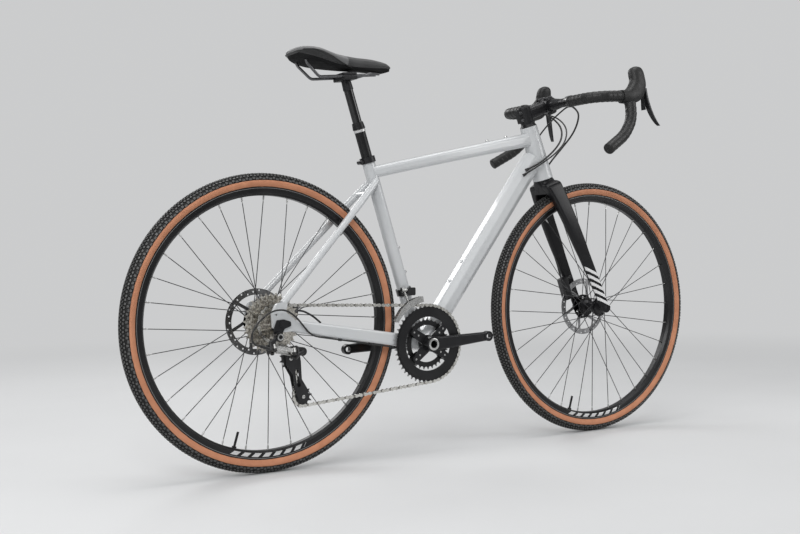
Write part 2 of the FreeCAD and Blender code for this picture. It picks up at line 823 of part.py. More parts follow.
def chainring_bolts():
    """Two circles of bolts that hold the rings on the spider, heads on the inside."""
    bolts = []
    for circle, ring_y, seat in ((outer_bolt_circle, outer_ring_y, 1.9), (inner_bolt_circle, inner_ring_y, 1.1)):
        head_low = ring_y + seat + press_gap
        place = FORWARD * circle
        shank_end = outer_ring_y - 7.5
        bolt = joined([cross_rod(place, head_low, head_low + 2.4, 5.2), cross_rod(place, shank_end, head_low, 2.5),
                       cross_rod(place, ring_y - seat + 0.2, head_low, 4.0)])
        socket = cross_rod(place, head_low + 0.8, head_low + 3.0, 2.4)
        bolts += [on_crank(spun(bolt.cut(socket), Vector(), -angle)) for angle in spider_angles]
    return bolts


def bottom_bracket():
    """Two outboard cups threaded into the shell, each holding a bearing."""
    pieces = []
    for side in (1, -1):
        near, far = side * shell_half_width, side * (shell_half_width + cup_width)
        deep = side * (shell_half_width - 14.0)
        bearing_near = side * (shell_half_width + cup_width - 8.0)
        low, high = crank_centre + LEFT * near, crank_centre + LEFT * far
        seat = crank_centre + LEFT * bearing_near
        cup = joined([rod(low, high, cup_radius), rod(crank_centre + LEFT * deep, low, cup_thread_radius)])
        bearing_seat = rod(seat, high, cup_bearing_radius + press_gap)
        cup = cup.cut([rod(crank_centre + LEFT * deep, high, 14.5), bearing_seat])
        bearing = sleeve(seat, high, cup_bearing_radius, spindle_radius + running_gap)
        pieces += [cup, bearing]
    return pieces


# Frame
def seat_point(height):
    """Point on the seat tube's axis, measured up from the bottom bracket."""
    return crank_centre + seat_direction * height


def down_tube_section(centre, along, width, height):
    """Eight-sided section with softened corners, wider across its upper shoulder."""
    rise = along.cross(LEFT)
    half_w, half_h = width / 2, height / 2
    corners = [(0.50, 1.0), (1.0, 0.36), (1.0, -0.42), (0.54, -1.0), (-0.54, -1.0), (-1.0, -0.42), (-1.0, 0.36),
               (-0.50, 1.0)]
    return rounded_outline([centre - LEFT * (a * half_w) - rise * (b * half_h) for a, b in corners], 7.0)


def down_tube():
    along = tilted(down_tube_angle)
    side = Vector(along.z, 0, -along.x)
    start = crank_centre + side * down_tube_offset
    reach = (head_bottom - start).dot(along) + 8.0
    return loft([down_tube_section(start, along, down_tube_width * 1.08, down_tube_height * 0.94),
                 down_tube_section(start + along * reach * 0.5, along, down_tube_width, down_tube_height),
                 down_tube_section(start + along * (reach + 12.0), along, down_tube_width * 0.94,
                                   down_tube_height * 1.04)])


def top_tube_ends():
    rear = seat_point(seat_tube_length - top_tube_drop_rear)
    front = head_top - steer_direction * top_tube_drop_front
    return rear, front


def top_tube():
    rear, front = top_tube_ends()
    along = (front - rear).normalize()
    rise = LEFT.cross(along) * -1
    sections = []
    heights = ((0.0, top_tube_height_rear), (0.55, top_tube_height_rear + 1.5), (1.0, top_tube_height_front))
    for share, height in heights:
        middle = rear + (front - rear) * share - rise * ((height - top_tube_height_rear) * 0.35)
        sections.append(box_section(middle, LEFT, rise, top_tube_width, height, 11.0))
    return loft(sections)


def chainstay():
    """Right chainstay, bowed round the tyre and inside the chainrings."""
    along = (crank_centre - rear_axle).normalize()
    rise = LEFT.cross(along) * -1
    places = ((-8.0, 24.0, 1.0), (58.0, 27.5, 1.0), (100.0, 35.0, 0.9), (165.0, 45.0, 0.9), (230.0, 54.0, 0.88),
              (313.0, 64.5, 0.84), (396.0, 73.0, 0.8))
    sections = []
    for back, y, girth in places:
        share = back / chainstay_length
        height = chainstay_height_front + (chainstay_height_rear - chainstay_height_front) * share
        centre = crank_centre - along * back - LEFT * y
        sections.append(box_section(centre, LEFT, rise, chainstay_width * girth, height, 5.5))
    return loft(sections)


def seatstay_points():
    """Centres along the right seat stay, from the seat tube to the dropout."""
    top = seat_point(seat_tube_length - top_tube_drop_rear - 22.0)
    low = rear_axle + Vector(9.0, 0, 47.0)
    return [top + (low - top) * share - LEFT * y
            for share, y in ((0.0, 14.0), (0.12, 25.0), (0.28, 36.0), (0.6, 54.0), (1.0, 73.0))]


def seatstay():
    points = seatstay_points()
    along = (points[-1] - points[0]).normalize()
    sections = []
    for i, point in enumerate(points):
        girth = (0.95, 1.0, 1.0, 0.97, 0.95)[i]
        sections.append(Part.Wire(Part.makeCircle(seatstay_radius * girth, point, along)))
    return loft(sections)


def stay_bridge():
    """Arched brace between the seat stays, above the tyre."""
    right = seatstay_points()[1]
    left = Vector(right.x, -right.y, right.z)
    return rod(right, left, seatstay_radius * 0.8)


dropout_corners = ((-10.5, 47.0), (-22.0, 26.0), (-19.5, -9.0), (7.5, -19.0), (32.5, -17.0), (36.0, 10.0),
                   (13.0, 27.0), (18.5, 53.0))


def dropout():
    """Right dropout plate, outside the hub's end."""
    outer = -rear_hub_width / 2 - dropout_thickness
    corners = [(rear_axle.x + x, rear_axle.z + z) for x, z in dropout_corners]
    return plate(corners, outer, -rear_hub_width / 2, 6.0)


eyelet_offset = Vector(-12.0, 0, 22.0)


def boss(point, outward):
    """Raised threaded boss on a tube: the ring to add and the hole to cut."""
    foot = point - outward * 6.0
    top = point + outward * boss_height
    return rod(foot, top, boss_radius), rod(point - outward * 10.0, top + outward, boss_thread_radius)


def boss_places():
    """Boss points and outward directions: seat tube, down tube and top tube pairs."""
    seat_out = Vector(seat_direction.z, 0, -seat_direction.x)
    along = tilted(down_tube_angle)
    up_side = Vector(-along.z, 0, along.x)
    down_base = crank_centre - up_side * down_tube_offset + up_side * (down_tube_height * 0.49)
    rear, front = top_tube_ends()
    top_along = (front - rear).normalize()
    top_out = Vector(-top_along.z, 0, top_along.x)
    seat_pair = [(seat_point(d) + seat_out * seat_tube_radius, seat_out) for d in (185.0, 185.0 + boss_spacing)]
    down_pair = [(down_base + along * d, up_side) for d in (185.0, 185.0 + boss_spacing)]
    top_base = front + top_out * (top_tube_height_rear / 2)
    top_pair = [(top_base - top_along * d, top_out) for d in (88.0, 88.0 + boss_spacing)]
    return seat_pair, down_pair, top_pair


def shell_and_cup_cuts():
    """Thread through the bottom bracket shell, and the room that each cup needs outside it."""
    reach = shell_half_width + 1.0
    cuts = [cross_rod(crank_centre, -reach, reach, cup_thread_radius + press_gap)]
    for side in (1, -1):
        face = side * shell_half_width
        cuts.append(cross_rod(crank_centre, face, face + side * cup_width, cup_radius + moving_gap))
    return cuts


def rear_stays():
    """Welded stays with dropouts, bridge and brake foot, set against the seat tube and shell."""
    right_side = [chainstay(), seatstay(), dropout()]
    axle, along, away = caliper_frame_rear()
    foot_height = rear_caliper_near - press_gap - 6.0
    foot = axle + away * (6.0 + foot_height / 2) + LEFT * (rear_rotor_y + 11.5)
    brake_foot = loft([box_section(foot + along * reach, LEFT, away, 13.0, foot_height, 3.0)
                       for reach in (caliper_low + 4.0, caliper_high - 4.0)], True)
    solid = joined([stay_bridge(), brake_foot] + right_side + [mirrored(piece) for piece in right_side])
    cuts = [rod(crank_centre - seat_direction, seat_top, seat_tube_radius + seat_gap),
            cross_rod(crank_centre, -shell_half_width - 20.0, shell_half_width + 20.0, shell_radius + seat_gap),
            top_tube(), cross_rod(rear_axle, -rear_hub_width, rear_hub_width, axle_radius + press_gap),
            cross_rod(rear_axle + eyelet_offset, -rear_hub_width, rear_hub_width, boss_thread_radius)]
    return solid.cut(cuts + shell_and_cup_cuts()[1:])


def main_frame():
    """Welded front triangle: tubes, bottom bracket shell and bosses."""
    head = taper(head_bottom, head_top, head_bottom_radius, head_top_radius)
    seat_tube = rod(crank_centre, seat_top, seat_tube_radius)
    shell = cross_rod(crank_centre, -shell_half_width, shell_half_width, shell_radius)
    bosses = [boss(*place) for pair in boss_places() for place in pair]
    solid = joined([head, seat_tube, shell, top_tube(), down_tube()] + [ring for ring, _ in bosses])
    mid = (head_bottom + head_top) * 0.5
    cuts = [rod(seat_point(60.0), seat_top + seat_direction * 5.0, post_radius + press_gap),
            rod(head_bottom - steer_direction, mid, steerer_base_radius + 2.5),
            rod(mid - steer_direction, head_top + steer_direction, steerer_radius + 3.0),
            rod(head_bottom - steer_direction, head_bottom + steer_direction * bearing_height,
                lower_bearing_radius + press_gap),
            rod(head_top - steer_direction * bearing_height, head_top + steer_direction,
                upper_bearing_radius + press_gap)]
    return solid.cut(cuts + shell_and_cup_cuts() + [hole for _, hole in bosses])


# Front end
def steer_point(height):
    """Point on the steering axis, measured up from the foot beside the front axle."""
    return steer_foot + steer_direction * height


def leg_point(height, y):
    """Centre of a fork leg: on the steering axis at the crown, at the axle below."""
    lead = fork_rake * (1.0 - height / crown_to_axle)
    return steer_point(height) + steer_forward * lead + LEFT * y


def fork_leg():
    """Right fork leg, slimming from the crown to the dropout."""
    end_y = front_hub_width / 2 + fork_end_thickness / 2
    stations = ((crown_to_axle - 12.0, 24.0, 50.0, 30.0), (crown_to_axle - 50.0, 38.0, 46.0, 22.0),
                (crown_to_axle - 110.0, 45.5, 42.0, 20.0), (crown_to_axle - 180.0, 49.5, 38.5, 19.0),
                (crown_to_axle - 250.0, 52.5, 34.5, 17.0), (crown_to_axle - 320.0, 54.8, 31.0, 15.0),
                (4.0, end_y, 28.0, fork_end_thickness))
    sections = [box_section(leg_point(height, -y), LEFT, steer_forward, thickness, chord, 7.0)
                for height, y, chord, thickness in stations]
    end = cross_rod(front_axle, -front_hub_width / 2 - fork_end_thickness, -front_hub_width / 2, 15.0)
    return loft(sections).fuse(end)


def caliper_frame_front():
    """Corner by the front axle, and the ways up the fork and back from it, for the brake."""
    return front_axle, steer_direction, steer_forward * -1


def fork():
    """Steerer, crown and two legs, bored for the axle, with feet for the brake."""
    crown = loft([box_section(leg_point(crown_to_axle - 33.0, 0), LEFT, steer_forward, 84.0, 50.0, 18.0),
                  box_section(steer_point(crown_to_axle), LEFT, steer_forward, 54.0, 54.0, 24.0)])
    race_top = (head_bottom - steer_foot).dot(steer_direction) - moving_gap
    taper_start = race_top + bearing_height + 2.0
    taper_end = taper_start + 45.0
    steerer_top = (stem_middle - steer_foot).dot(steer_direction) + stem_clamp_height / 2 - 3.0
    steerer = [rod(steer_point(crown_to_axle - 2.0), steer_point(race_top), head_bottom_radius - 1.0),
               rod(steer_point(crown_to_axle - 2.0), steer_point(taper_start), steerer_base_radius),
               taper(steer_point(taper_start), steer_point(taper_end), steerer_base_radius, steerer_radius),
               rod(steer_point(taper_end), steer_point(steerer_top), steerer_radius)]
    leg = fork_leg()
    axle, up, back = caliper_frame_front()
    foot_y = front_rotor_y + 11.5
    feet = [rod(axle + up * height + back * 5.0 + LEFT * foot_y,
                axle + up * height + back * (caliper_back - press_gap) + LEFT * foot_y, 6.0)
            for height in (caliper_low + 9.0, caliper_high - 9.0)]
    cuts = [rod(steer_point(crown_to_axle - 18.0), steer_point(steerer_top + 1.0), steerer_bore),
            cross_rod(front_axle, -front_hub_width, front_hub_width, axle_radius + press_gap)]
    return joined([crown, leg, mirrored(leg)] + steerer + feet).cut(cuts)


def caliper(axle, along, away, rotor_y, near, outer_reach):
    """Brake body astride the disc, with two pads beside the track."""
    low_y = rotor_y - caliper_half_width
    high_y = rotor_y + outer_reach
    middle = axle + away * (near + caliper_depth / 2) + LEFT * ((low_y + high_y) / 2)
    body = loft([box_section(middle + along * height, LEFT, away, high_y - low_y, caliper_depth, 5.0)
                 for height in (caliper_low, caliper_high)], True)
    slot = cross_rod(axle, rotor_y - caliper_slot / 2, rotor_y + caliper_slot / 2, rotor_radius + 2.5)
    pad_way = along * ((caliper_low + caliper_high) / 2 - 14.0) + away * (near + 11.0)
    pad_centre = axle + pad_way.normalize() * (rotor_radius - rotor_track / 2)
    pads = []
    for side in (1, -1):
        wall = rotor_y + side * (caliper_slot / 2 - press_gap)
        pads.append(cross_rod(pad_centre, min(wall, wall - side * pad_thickness),
                              max(wall, wall - side * pad_thickness), pad_radius))
    return [body.cut(slot)] + pads


def headset_bearings():
    upper = sleeve(head_top - steer_direction * bearing_height, head_top, upper_bearing_radius,
                   steerer_radius + running_gap)
    lower = sleeve(head_bottom, head_bottom + steer_direction * bearing_height, lower_bearing_radius,
                   steerer_base_radius + running_gap)
    return [upper, lower]


def headset_spacers():
    """Cover over the upper bearing, a spacer under the stem and the top cap."""
    bore = steerer_radius + press_gap
    cover_top = spacer_stack - 5.0
    low = head_top + steer_direction * seat_gap
    cover = taper(low, head_top + steer_direction * cover_top, head_top_radius - 0.5, stem_clamp_radius - 1.0)
    cover = cover.cut(rod(low, head_top + steer_direction * cover_top, bore))
    spacer = sleeve(head_top + steer_direction * (cover_top + press_gap),
                    head_top + steer_direction * (spacer_stack - press_gap), stem_clamp_radius - 1.0, bore)
    cap_low = stem_middle + steer_direction * (stem_clamp_height / 2 + press_gap)
    cap = taper(cap_low, cap_low + steer_direction * 4.0, stem_clamp_radius - 1.0, stem_clamp_radius - 3.5)
    cap_bolt = rod(cap_low + steer_direction * (4.0 + press_gap), cap_low + steer_direction * 6.0, 4.5)
    return [cover, spacer, cap, cap_bolt]


def stem_axes():
    """Directions along the stem and across it, in the side view."""
    return tilted(stem_rise), tilted(stem_rise + 90.0)


def ahead_of_bar(gap):
    """Block that holds everything in front of the bar's split plane."""
    along, rise = stem_axes()
    reach = 40.0
    corners = [bar_centre + along * a + rise * b for a, b in
               ((gap, -reach), (gap + reach, -reach), (gap + reach, reach), (gap, reach))]
    return plate([(p.x, p.z) for p in corners], -faceplate_width, faceplate_width, 1.0)


def ear_places():
    """Centres of the four faceplate screws on the split plane."""
    _, rise = stem_axes()
    return [bar_centre + rise * (up * (faceplate_radius - 2.0)) + LEFT * (side * (faceplate_width / 2 - 7.0))
            for up in (1, -1) for side in (1, -1)]


def stem():
    along, rise = stem_axes()
    half = steer_direction * (stem_clamp_height / 2)
    body = [rod(stem_middle - half, stem_middle + half, stem_clamp_radius),
            loft([box_section(stem_middle, LEFT, rise, 32.0, 34.0, 10.0),
                  box_section(bar_centre - along * 8.0, LEFT, rise, 38.0, 32.0, 10.0)], True),
            cross_rod(bar_centre, -faceplate_width / 2, faceplate_width / 2, faceplate_radius),
            box_solid(stem_middle - steer_forward * 20.0, 18.0, 14.0, stem_clamp_height - 4.0)]
    body += [rod(place - along * 13.0, place, 5.5) for place in ear_places()]
    cuts = [rod(stem_middle - half * 1.2, stem_middle + half * 1.2, steerer_radius + press_gap),
            cross_rod(bar_centre, -faceplate_width, faceplate_width, bar_clamp_radius + press_gap),
            ahead_of_bar(-0.4)]
    cuts += [rod(place - along * 14.0, place, 2.5 + press_gap) for place in ear_places()]
    cuts += [rod(place - LEFT * 12.0, place + LEFT * 12.0, 2.5 + press_gap) for place in rear_screw_places()]
    return joined(body).cut(cuts)


def box_solid(centre, width, depth, height):
    """Rounded block square to the steering axis."""
    half = steer_direction * (height / 2)
    return loft([box_section(centre - half, LEFT, steer_forward, width, depth, 4.0),
                 box_section(centre + half, LEFT, steer_forward, width, depth, 4.0)], True)


def rear_screw_places():
    return [stem_middle - steer_forward * 21.5 + steer_direction * height for height in (-10.0, 10.0)]


def stem_faceplate():
    along, _ = stem_axes()
    shell = cross_rod(bar_centre, -faceplate_width / 2, faceplate_width / 2, faceplate_radius)
    ears = [rod(place, place + along * 8.0, 5.5) for place in ear_places()]
    cuts = [cross_rod(bar_centre, -faceplate_width, faceplate_width, bar_clamp_radius + press_gap)]
    cuts += [rod(place - along, place + along * 9.0, 2.5 + press_gap) for place in ear_places()]
    cuts += [rod(place + along * 8.0, place + along * 20.0, 4.6) for place in ear_places()]
    return joined([shell] + ears).common(ahead_of_bar(0.4)).cut(cuts)


def stem_bolts():
    """Four faceplate screws and two steerer clamp screws."""
    along, _ = stem_axes()
    bolts = []
    for place in ear_places():
        seat = place + along * (8.0 + press_gap)
        head = rod(seat, seat + along * 4.5, 4.2).cut(rod(seat + along * 2.0, seat + along * 5.0, 2.0))
        bolts.append(head.fuse(rod(place - along * 11.0, seat, 2.5)))
    for place in rear_screw_places():
        side = place - LEFT * (9.0 + press_gap)
        head = rod(side - LEFT * 4.0, side, 4.2).cut(rod(side - LEFT * 5.0, side - LEFT * 2.0, 2.0))
        bolts.append(head.fuse(rod(side, place + LEFT * 8.0, 2.5)))
    return bolts


# Handlebar: offsets from the bar's middle to its corners on the right side
bar_corner = Vector(0, -195.0, 0)
ramp_corner = Vector(113.0, -207.0, 8.0)
drop_front = Vector(109.0, -218.0, -56.0)
drop_back = Vector(70.0, -231.0, -101.0)
drop_end = Vector(-1.0, -247.0, -141.0)
bar_bends = (48.0, 34.0, 78.0, 150.0)


def right_bar_points(start_y):
    offsets = (Vector(0, -start_y, 0), bar_corner, ramp_corner, drop_front, drop_back, drop_end)
    return [bar_centre + offset for offset in offsets]


def across(points):
    return [Vector(p.x, -p.y, p.z) for p in points]


def full_bar(radius):
    right = right_bar_points(0.0)[1:]
    points = list(reversed(across(right))) + right
    return bent_rod(points, tuple(reversed(bar_bends)) + bar_bends, radius)


def handlebar():
    clamp_half = 38.0
    taper_end = 62.0
    pieces = [full_bar(bar_radius), cross_rod(bar_centre, -clamp_half, clamp_half, bar_clamp_radius)]
    for side in (1, -1):
        start = bar_centre + LEFT * (side * clamp_half)
        end = bar_centre + LEFT * (side * taper_end)
        pieces.append(taper(start, end, bar_clamp_radius, bar_radius))
    return joined(pieces).cut(full_bar(bar_radius - bar_wall))


def right_tape(blank):
    """Wrapped grip on one side, in two runs with the lever's hood between, and the end plug."""
    points = right_bar_points(tape_start)
    bar = bent_rod(points, bar_bends, bar_radius + press_gap)
    ramp_stop = points[2] + (points[1] - points[2]).normalize() * tape_hood_gap
    drop_start = points[2] + (points[3] - points[2]).normalize() * tape_hood_gap
    upper = bent_rod(points[:2] + [ramp_stop], bar_bends[:1], tape_radius)
    lower = bent_rod([drop_start] + points[3:], bar_bends[2:], tape_radius)
    wraps = [wrap.cut([bar, blank]) for wrap in (upper, lower)]
    along = (points[-1] - points[-2]).normalize()
    face = points[-1] + along * press_gap
    plug = taper(face, face + along * 4.0, tape_radius, tape_radius - 3.0)
    plug = plug.fuse(rod(face - along * 14.0, face, bar_radius - bar_wall - press_gap))
    return wraps + [plug]


# Brake and shift levers: offsets from the bar's middle on the right side
lever_pivot_offset = Vector(153.0, -200.0, 25.0)
pivot_half_width = 10.0
pivot_pin_radius = 2.5


def hood_blank():
    """Rubber-covered lever body, from the bar to its raised knob."""
    stations = ((84.0, -204.5, 4.0, 10.0, 34.0, 36.0, 15.0), (110.0, -206.0, 6.0, 26.0, 37.0, 42.0, 15.0),
                (136.0, -203.0, 20.0, 46.0, 37.0, 52.0, 14.0), (151.0, -198.0, 44.0, 70.0, 35.0, 48.0, 14.0),
                (152.0, -194.0, 65.0, 88.0, 33.0, 42.0, 14.0), (151.0, -191.0, 80.0, 96.0, 29.0, 35.0, 12.0),
                (150.0, -190.0, 89.0, 98.0, 17.0, 20.0, 7.0))
    sections = []
    for x, y, z, slope, width, depth, corner in stations:
        place = bar_centre + Vector(x, y, z)
        sections.append(box_section(place, LEFT, tilted(slope + 90.0), width, depth, corner))
    return loft(sections)


def lever_hood(blank):
    pivot = bar_centre + lever_pivot_offset
    reach = hood_pivot_radius + moving_gap
    low, high = pivot.y - pivot_half_width - moving_gap, pivot.y + pivot_half_width + moving_gap
    front = [(pivot.x - 2.0, pivot.z - 30.0), (pivot.x + 40.0, pivot.z - 30.0), (pivot.x + 40.0, pivot.z + reach),
             (pivot.x - 2.0, pivot.z + reach)]
    right_points = right_bar_points(tape_start)
    cuts = [bent_rod(right_points, bar_bends, bar_radius + press_gap), cross_rod(pivot, low, high, reach),
            plate(front, low, high, 1.0),
            cross_rod(pivot, pivot.y - 14.0, pivot.y + 14.0, pivot_pin_radius + running_gap)]
    return blank.cut(cuts)


def lever_block():
    """Block that turns on the pull pin and carries the swinging blade."""
    pivot = bar_centre + lever_pivot_offset
    body = cross_rod(pivot, pivot.y - pivot_half_width, pivot.y + pivot_half_width, hood_pivot_radius)
    pin = cross_rod(pivot, pivot.y - 13.5, pivot.y + 13.5, pivot_pin_radius)
    bore = rod(pivot + FORWARD * 3.0, pivot + FORWARD * 20.0, pivot_pin_radius + running_gap)
    return body.fuse(pin).cut(bore)


def brake_lever():
    """Blade with its swing pin, curving down and outward from the block."""
    pivot = bar_centre + lever_pivot_offset
    stations = ((20.5, 0.0, 8.0, 15.0, 7.0), (22.0, -1.0, -10.0, 17.0, 7.0), (31.0, -6.0, -46.0, 16.0, 6.5),
                (42.0, -13.0, -75.0, 14.0, 5.5), (53.0, -20.0, -93.0, 10.0, 4.0))
    sections = [box_section(pivot + Vector(x, y, z), LEFT, FORWARD, width, depth, 1.8)
                for x, y, z, width, depth in stations]
    pin = rod(pivot + FORWARD * 4.0, pivot + FORWARD * 20.0, pivot_pin_radius)
    return loft(sections).fuse(pin)


def shift_paddle():
    """Inner paddle on the blade's pin, behind the blade."""
    pivot = bar_centre + lever_pivot_offset
    near, far = hood_pivot_radius + moving_gap, hood_pivot_radius + moving_gap + 3.2
    eye = rod(pivot + FORWARD * near, pivot + FORWARD * far, 7.0)
    middle = (near + far) / 2
    stations = ((middle, 0.0, -4.0, 10.0), (middle + 1.6, 2.0, -26.0, 12.0), (middle + 6.0, 3.0, -50.0, 16.0))
    blade = loft([box_section(pivot + Vector(x, y, z), LEFT, FORWARD, width, 2.6, 1.0)
                  for x, y, z, width in stations])
    return eye.fuse(blade).cut(rod(pivot, pivot + FORWARD * 30.0, pivot_pin_radius + running_gap))


# Rear derailleur: a slanted parallelogram under the hanger
link_run = Vector(50.0, 0, -11.0)
link_spread = 14.0
shift_slope = 0.75
link_pin_radius = 2.0
link_eye_radius = 4.6
link_eye_half = 6.0
upper_pivot = rear_axle + Vector(-24.5, -96.0, -50.0)
shift_way = Vector(-shift_slope * -link_run.z / link_run.x, 1.0, -shift_slope).normalize()
link_axis = link_run.cross(shift_way).normalize()
hanger_inner_y = -rear_hub_width / 2 - dropout_thickness - press_gap
hanger_outer_y = hanger_inner_y - 4.0
cage_outer_y = chain_plane_y - 6.0
cage_inner_y = chain_plane_y + 6.0
cage_plate = 2.0
cage_pin_radius = 5.0


def link_ears(place, web_way):
    """Pin and two ears of a fork joint, with webs that run away from the link."""
    pieces = [rod(place - link_axis * 10.5, place + link_axis * 10.5, link_pin_radius)]
    for side in (1, -1):
        near = place + link_axis * (side * (link_eye_half + moving_gap))
        far = place + link_axis * (side * 10.5)
        pieces.append(rod(near, far, link_eye_radius))
        centre = (near + far) * 0.5
        pieces.append(rod(centre, centre + web_way * 10.0, 1.9))
    return pieces


def ear_webs(places, web_way, radius):
    """Bar behind the ears of both links, joining their four webs."""
    ends = []
    for place in places:
        ends += [place + link_axis * (side * 8.6) + web_way * 10.0 for side in (1, -1)]
    order = (0, 1, 3, 2)
    return [rod(ends[order[i]], ends[order[i + 1]], radius) for i in range(3)] + \
        [Part.makeSphere(radius, end) for end in ends], ends


def inner_pivot(place):
    return place + shift_way * link_spread


def rd_link(place):
    """One link of the parallelogram, with an eye at each end."""
    end = place + link_run
    along = Vector(link_run).normalize()
    half = link_axis * link_eye_half
    eyes = [rod(p - half, p + half, link_eye_radius) for p in (place, end)]
    thin = shift_way
    bar = loft([box_section(place + along * 3.5, thin, link_axis, 3.4, link_eye_half * 1.9, 1.2),
                box_section(end - along * 3.5, thin, link_axis, 3.4, link_eye_half * 1.9, 1.2)], True)
    bores = [rod(p - link_axis * 8.0, p + link_axis * 8.0, link_pin_radius + running_gap) for p in (place, end)]
    return joined(eyes + [bar]).cut(bores)


def rd_body():
    """Knuckle on the hanger bolt with the upper ears, and its bolt."""
    back = Vector(link_run).normalize() * -1
    places = (upper_pivot, inner_pivot(upper_pivot))
    bars, ends = ear_webs(places, back, 4.2)
    knuckle_low, knuckle_high = hanger_outer_y - 12.5, hanger_outer_y - press_gap
    knuckle = cross_rod(hanger_bolt, knuckle_low, knuckle_high, 10.5)
    middle = hanger_bolt + LEFT * ((knuckle_low + knuckle_high) / 2)
    necks = [rod(middle, ends[0], 5.0)]
    barrel = rod(ends[1], cable_barrel(), 3.8)
    pieces = [knuckle] + necks + bars + [barrel]
    for place in places:
        pieces += link_ears(place, back)
    body = joined(pieces).cut(cross_rod(hanger_bolt, knuckle_low - 1.0, knuckle_high + 1.0, 5.0 + press_gap))
    bolt = cross_rod(hanger_bolt, hanger_inner_y, knuckle_low - 2.0, 5.0)
    head = cross_rod(hanger_bolt, knuckle_low - 4.0, knuckle_low - press_gap, 7.5)
    socket = cross_rod(hanger_bolt, knuckle_low - 5.0, knuckle_low - 1.0, 2.9)
    return [body, bolt.fuse(head).cut(socket)]


def cable_barrel():
    """Where the shift cable enters the derailleur, behind its upper ears."""
    return upper_pivot + Vector(-34.0, 2.0, 4.0)


def rd_knuckle():
    """Lower knuckle: ears for both links and the sleeve of the cage pivot."""
    ahead = Vector(link_run).normalize()
    places = (upper_pivot + link_run, inner_pivot(upper_pivot) + link_run)
    bars, ends = ear_webs(places, ahead, 4.0)
    sleeve_low, sleeve_high = places[0].y - 3.0, cage_outer_y - cage_plate - moving_gap
    tube = cross_rod(cage_pivot, sleeve_low, sleeve_high, 10.0)
    necks = [rod(end, Vector(cage_pivot.x, end.y, cage_pivot.z), 4.0) for end in ends]
    pieces = [tube] + bars + necks
    for place in places:
        pieces += link_ears(place, ahead)
    return joined(pieces).cut(cross_rod(cage_pivot, sleeve_low + 4.0, sleeve_high + 1.0,
                                        cage_pin_radius + running_gap))


cage_outer_corners = ((11.0, 10.0), (-11.0, 11.0), (-26.0, -10.0), (-25.0, -30.0), (-11.0, -55.0), (-9.0, -98.0),
                      (-4.0, -122.0), (8.0, -128.0), (22.0, -120.0), (23.0, -98.0), (10.0, -70.0), (13.0, -28.0))
cage_window_corners = ((-5.0, -45.0), (4.0, -45.0), (3.0, -70.0), (6.5, -84.0), (-1.0, -90.0), (-4.0, -80.0))
cage_inner_corners = ((-24.0, -6.0), (-8.0, -5.0), (3.0, -24.0), (6.0, -60.0), (20.0, -94.0), (22.0, -116.0),
                      (8.0, -127.0), (-5.0, -120.0), (-10.0, -98.0), (-13.0, -60.0), (-25.0, -32.0))


def rd_cage():
    """Two cage plates joined by the pulley screws, on a pin in the lower knuckle."""
    outer = plate([(cage_pivot.x + x, cage_pivot.z + z) for x, z in cage_outer_corners],
                  cage_outer_y - cage_plate, cage_outer_y, 6.0)
    window = plate([(cage_pivot.x + x, cage_pivot.z + z) for x, z in cage_window_corners],
                   cage_outer_y - cage_plate - 1.0, cage_outer_y + 1.0, 3.0)
    outer = outer.cut(window)
    inner = plate([(cage_pivot.x + x, cage_pivot.z + z) for x, z in cage_inner_corners],
                  cage_inner_y, cage_inner_y + cage_plate, 6.0)
    pieces = [outer, inner]
    pin_end = upper_pivot.y + 3.0
    pieces.append(cross_rod(cage_pivot, pin_end, cage_outer_y - cage_plate, cage_pin_radius))
    for offset in (guide_offset, tension_offset):
        centre = cage_pivot + offset
        pieces.append(cross_rod(centre, cage_outer_y - cage_plate - 0.4, cage_inner_y + cage_plate + 0.4,
                                pulley_pin_radius))
        reach = 1.0 + seat_gap
        for low, high in ((cage_outer_y, chain_plane_y - reach), (chain_plane_y + reach, cage_inner_y)):
            pieces.append(cross_rod(centre, low, high, 5.5))
    return joined(pieces)


def derailleur_hanger():
    """Plate bolted outside the right dropout, round the axle and down to the derailleur."""
    x, z = rear_axle.x, rear_axle.z
    pad = plate([(x - 12.0, z + 10.0), (x + 6.0, z + 11.0), (x + 23.0, z + 5.0), (x + 24.0, z - 5.0),
                 (x + 6.0, z - 11.0), (x - 2.0, z - 30.0), (x - 20.0, z - 31.0), (x - 20.0, z - 12.0)],
                hanger_outer_y, hanger_inner_y, 4.5)
    screw_place = rear_axle + FORWARD * 18.0
    cuts = [cross_rod(rear_axle, hanger_outer_y - 1.0, hanger_inner_y + 1.0, axle_radius + press_gap),
            cross_rod(hanger_bolt, hanger_outer_y - 1.0, hanger_inner_y + 1.0, 5.0 + press_gap),
            cross_rod(screw_place, hanger_outer_y - 1.0, hanger_inner_y + 1.0, 2.5 + press_gap)]
    screw = cross_rod(screw_place, hanger_outer_y + 1.0, hanger_inner_y, 2.5)
    return [pad.cut(cuts), screw]


# Front derailleur
band_height = 139.0
fd_axis_point = seat_point(band_height) + Vector(-18.0, -31.0, 4.0)
fd_pin_radius = 2.5
fd_cage_inner_radius = 107.0
fd_cage_outer_radius = 121.5


def fd_body():
    """Band round the seat tube with the bracket and pin that carry the cage."""
    low = seat_point(band_height - 8.0)
    high = seat_point(band_height + 8.0)
    band = sleeve(low, high, seat_tube_radius + 4.0, seat_tube_radius + press_gap)
    middle = seat_point(band_height)
    bracket = loft([box_section(middle - LEFT * y, FORWARD, UP, 24.0, height, 4.0)
                    for y, height in ((seat_tube_radius + 2.0, 15.0), (-fd_axis_point.y + 6.0, 20.0))], True)
    bore = rod(low - seat_direction, high + seat_direction, seat_tube_radius + press_gap)
    pin = rod(fd_axis_point + FORWARD * 12.0, fd_axis_point - FORWARD * 9.0, fd_pin_radius)
    return joined([band, bracket.cut(bore), pin])


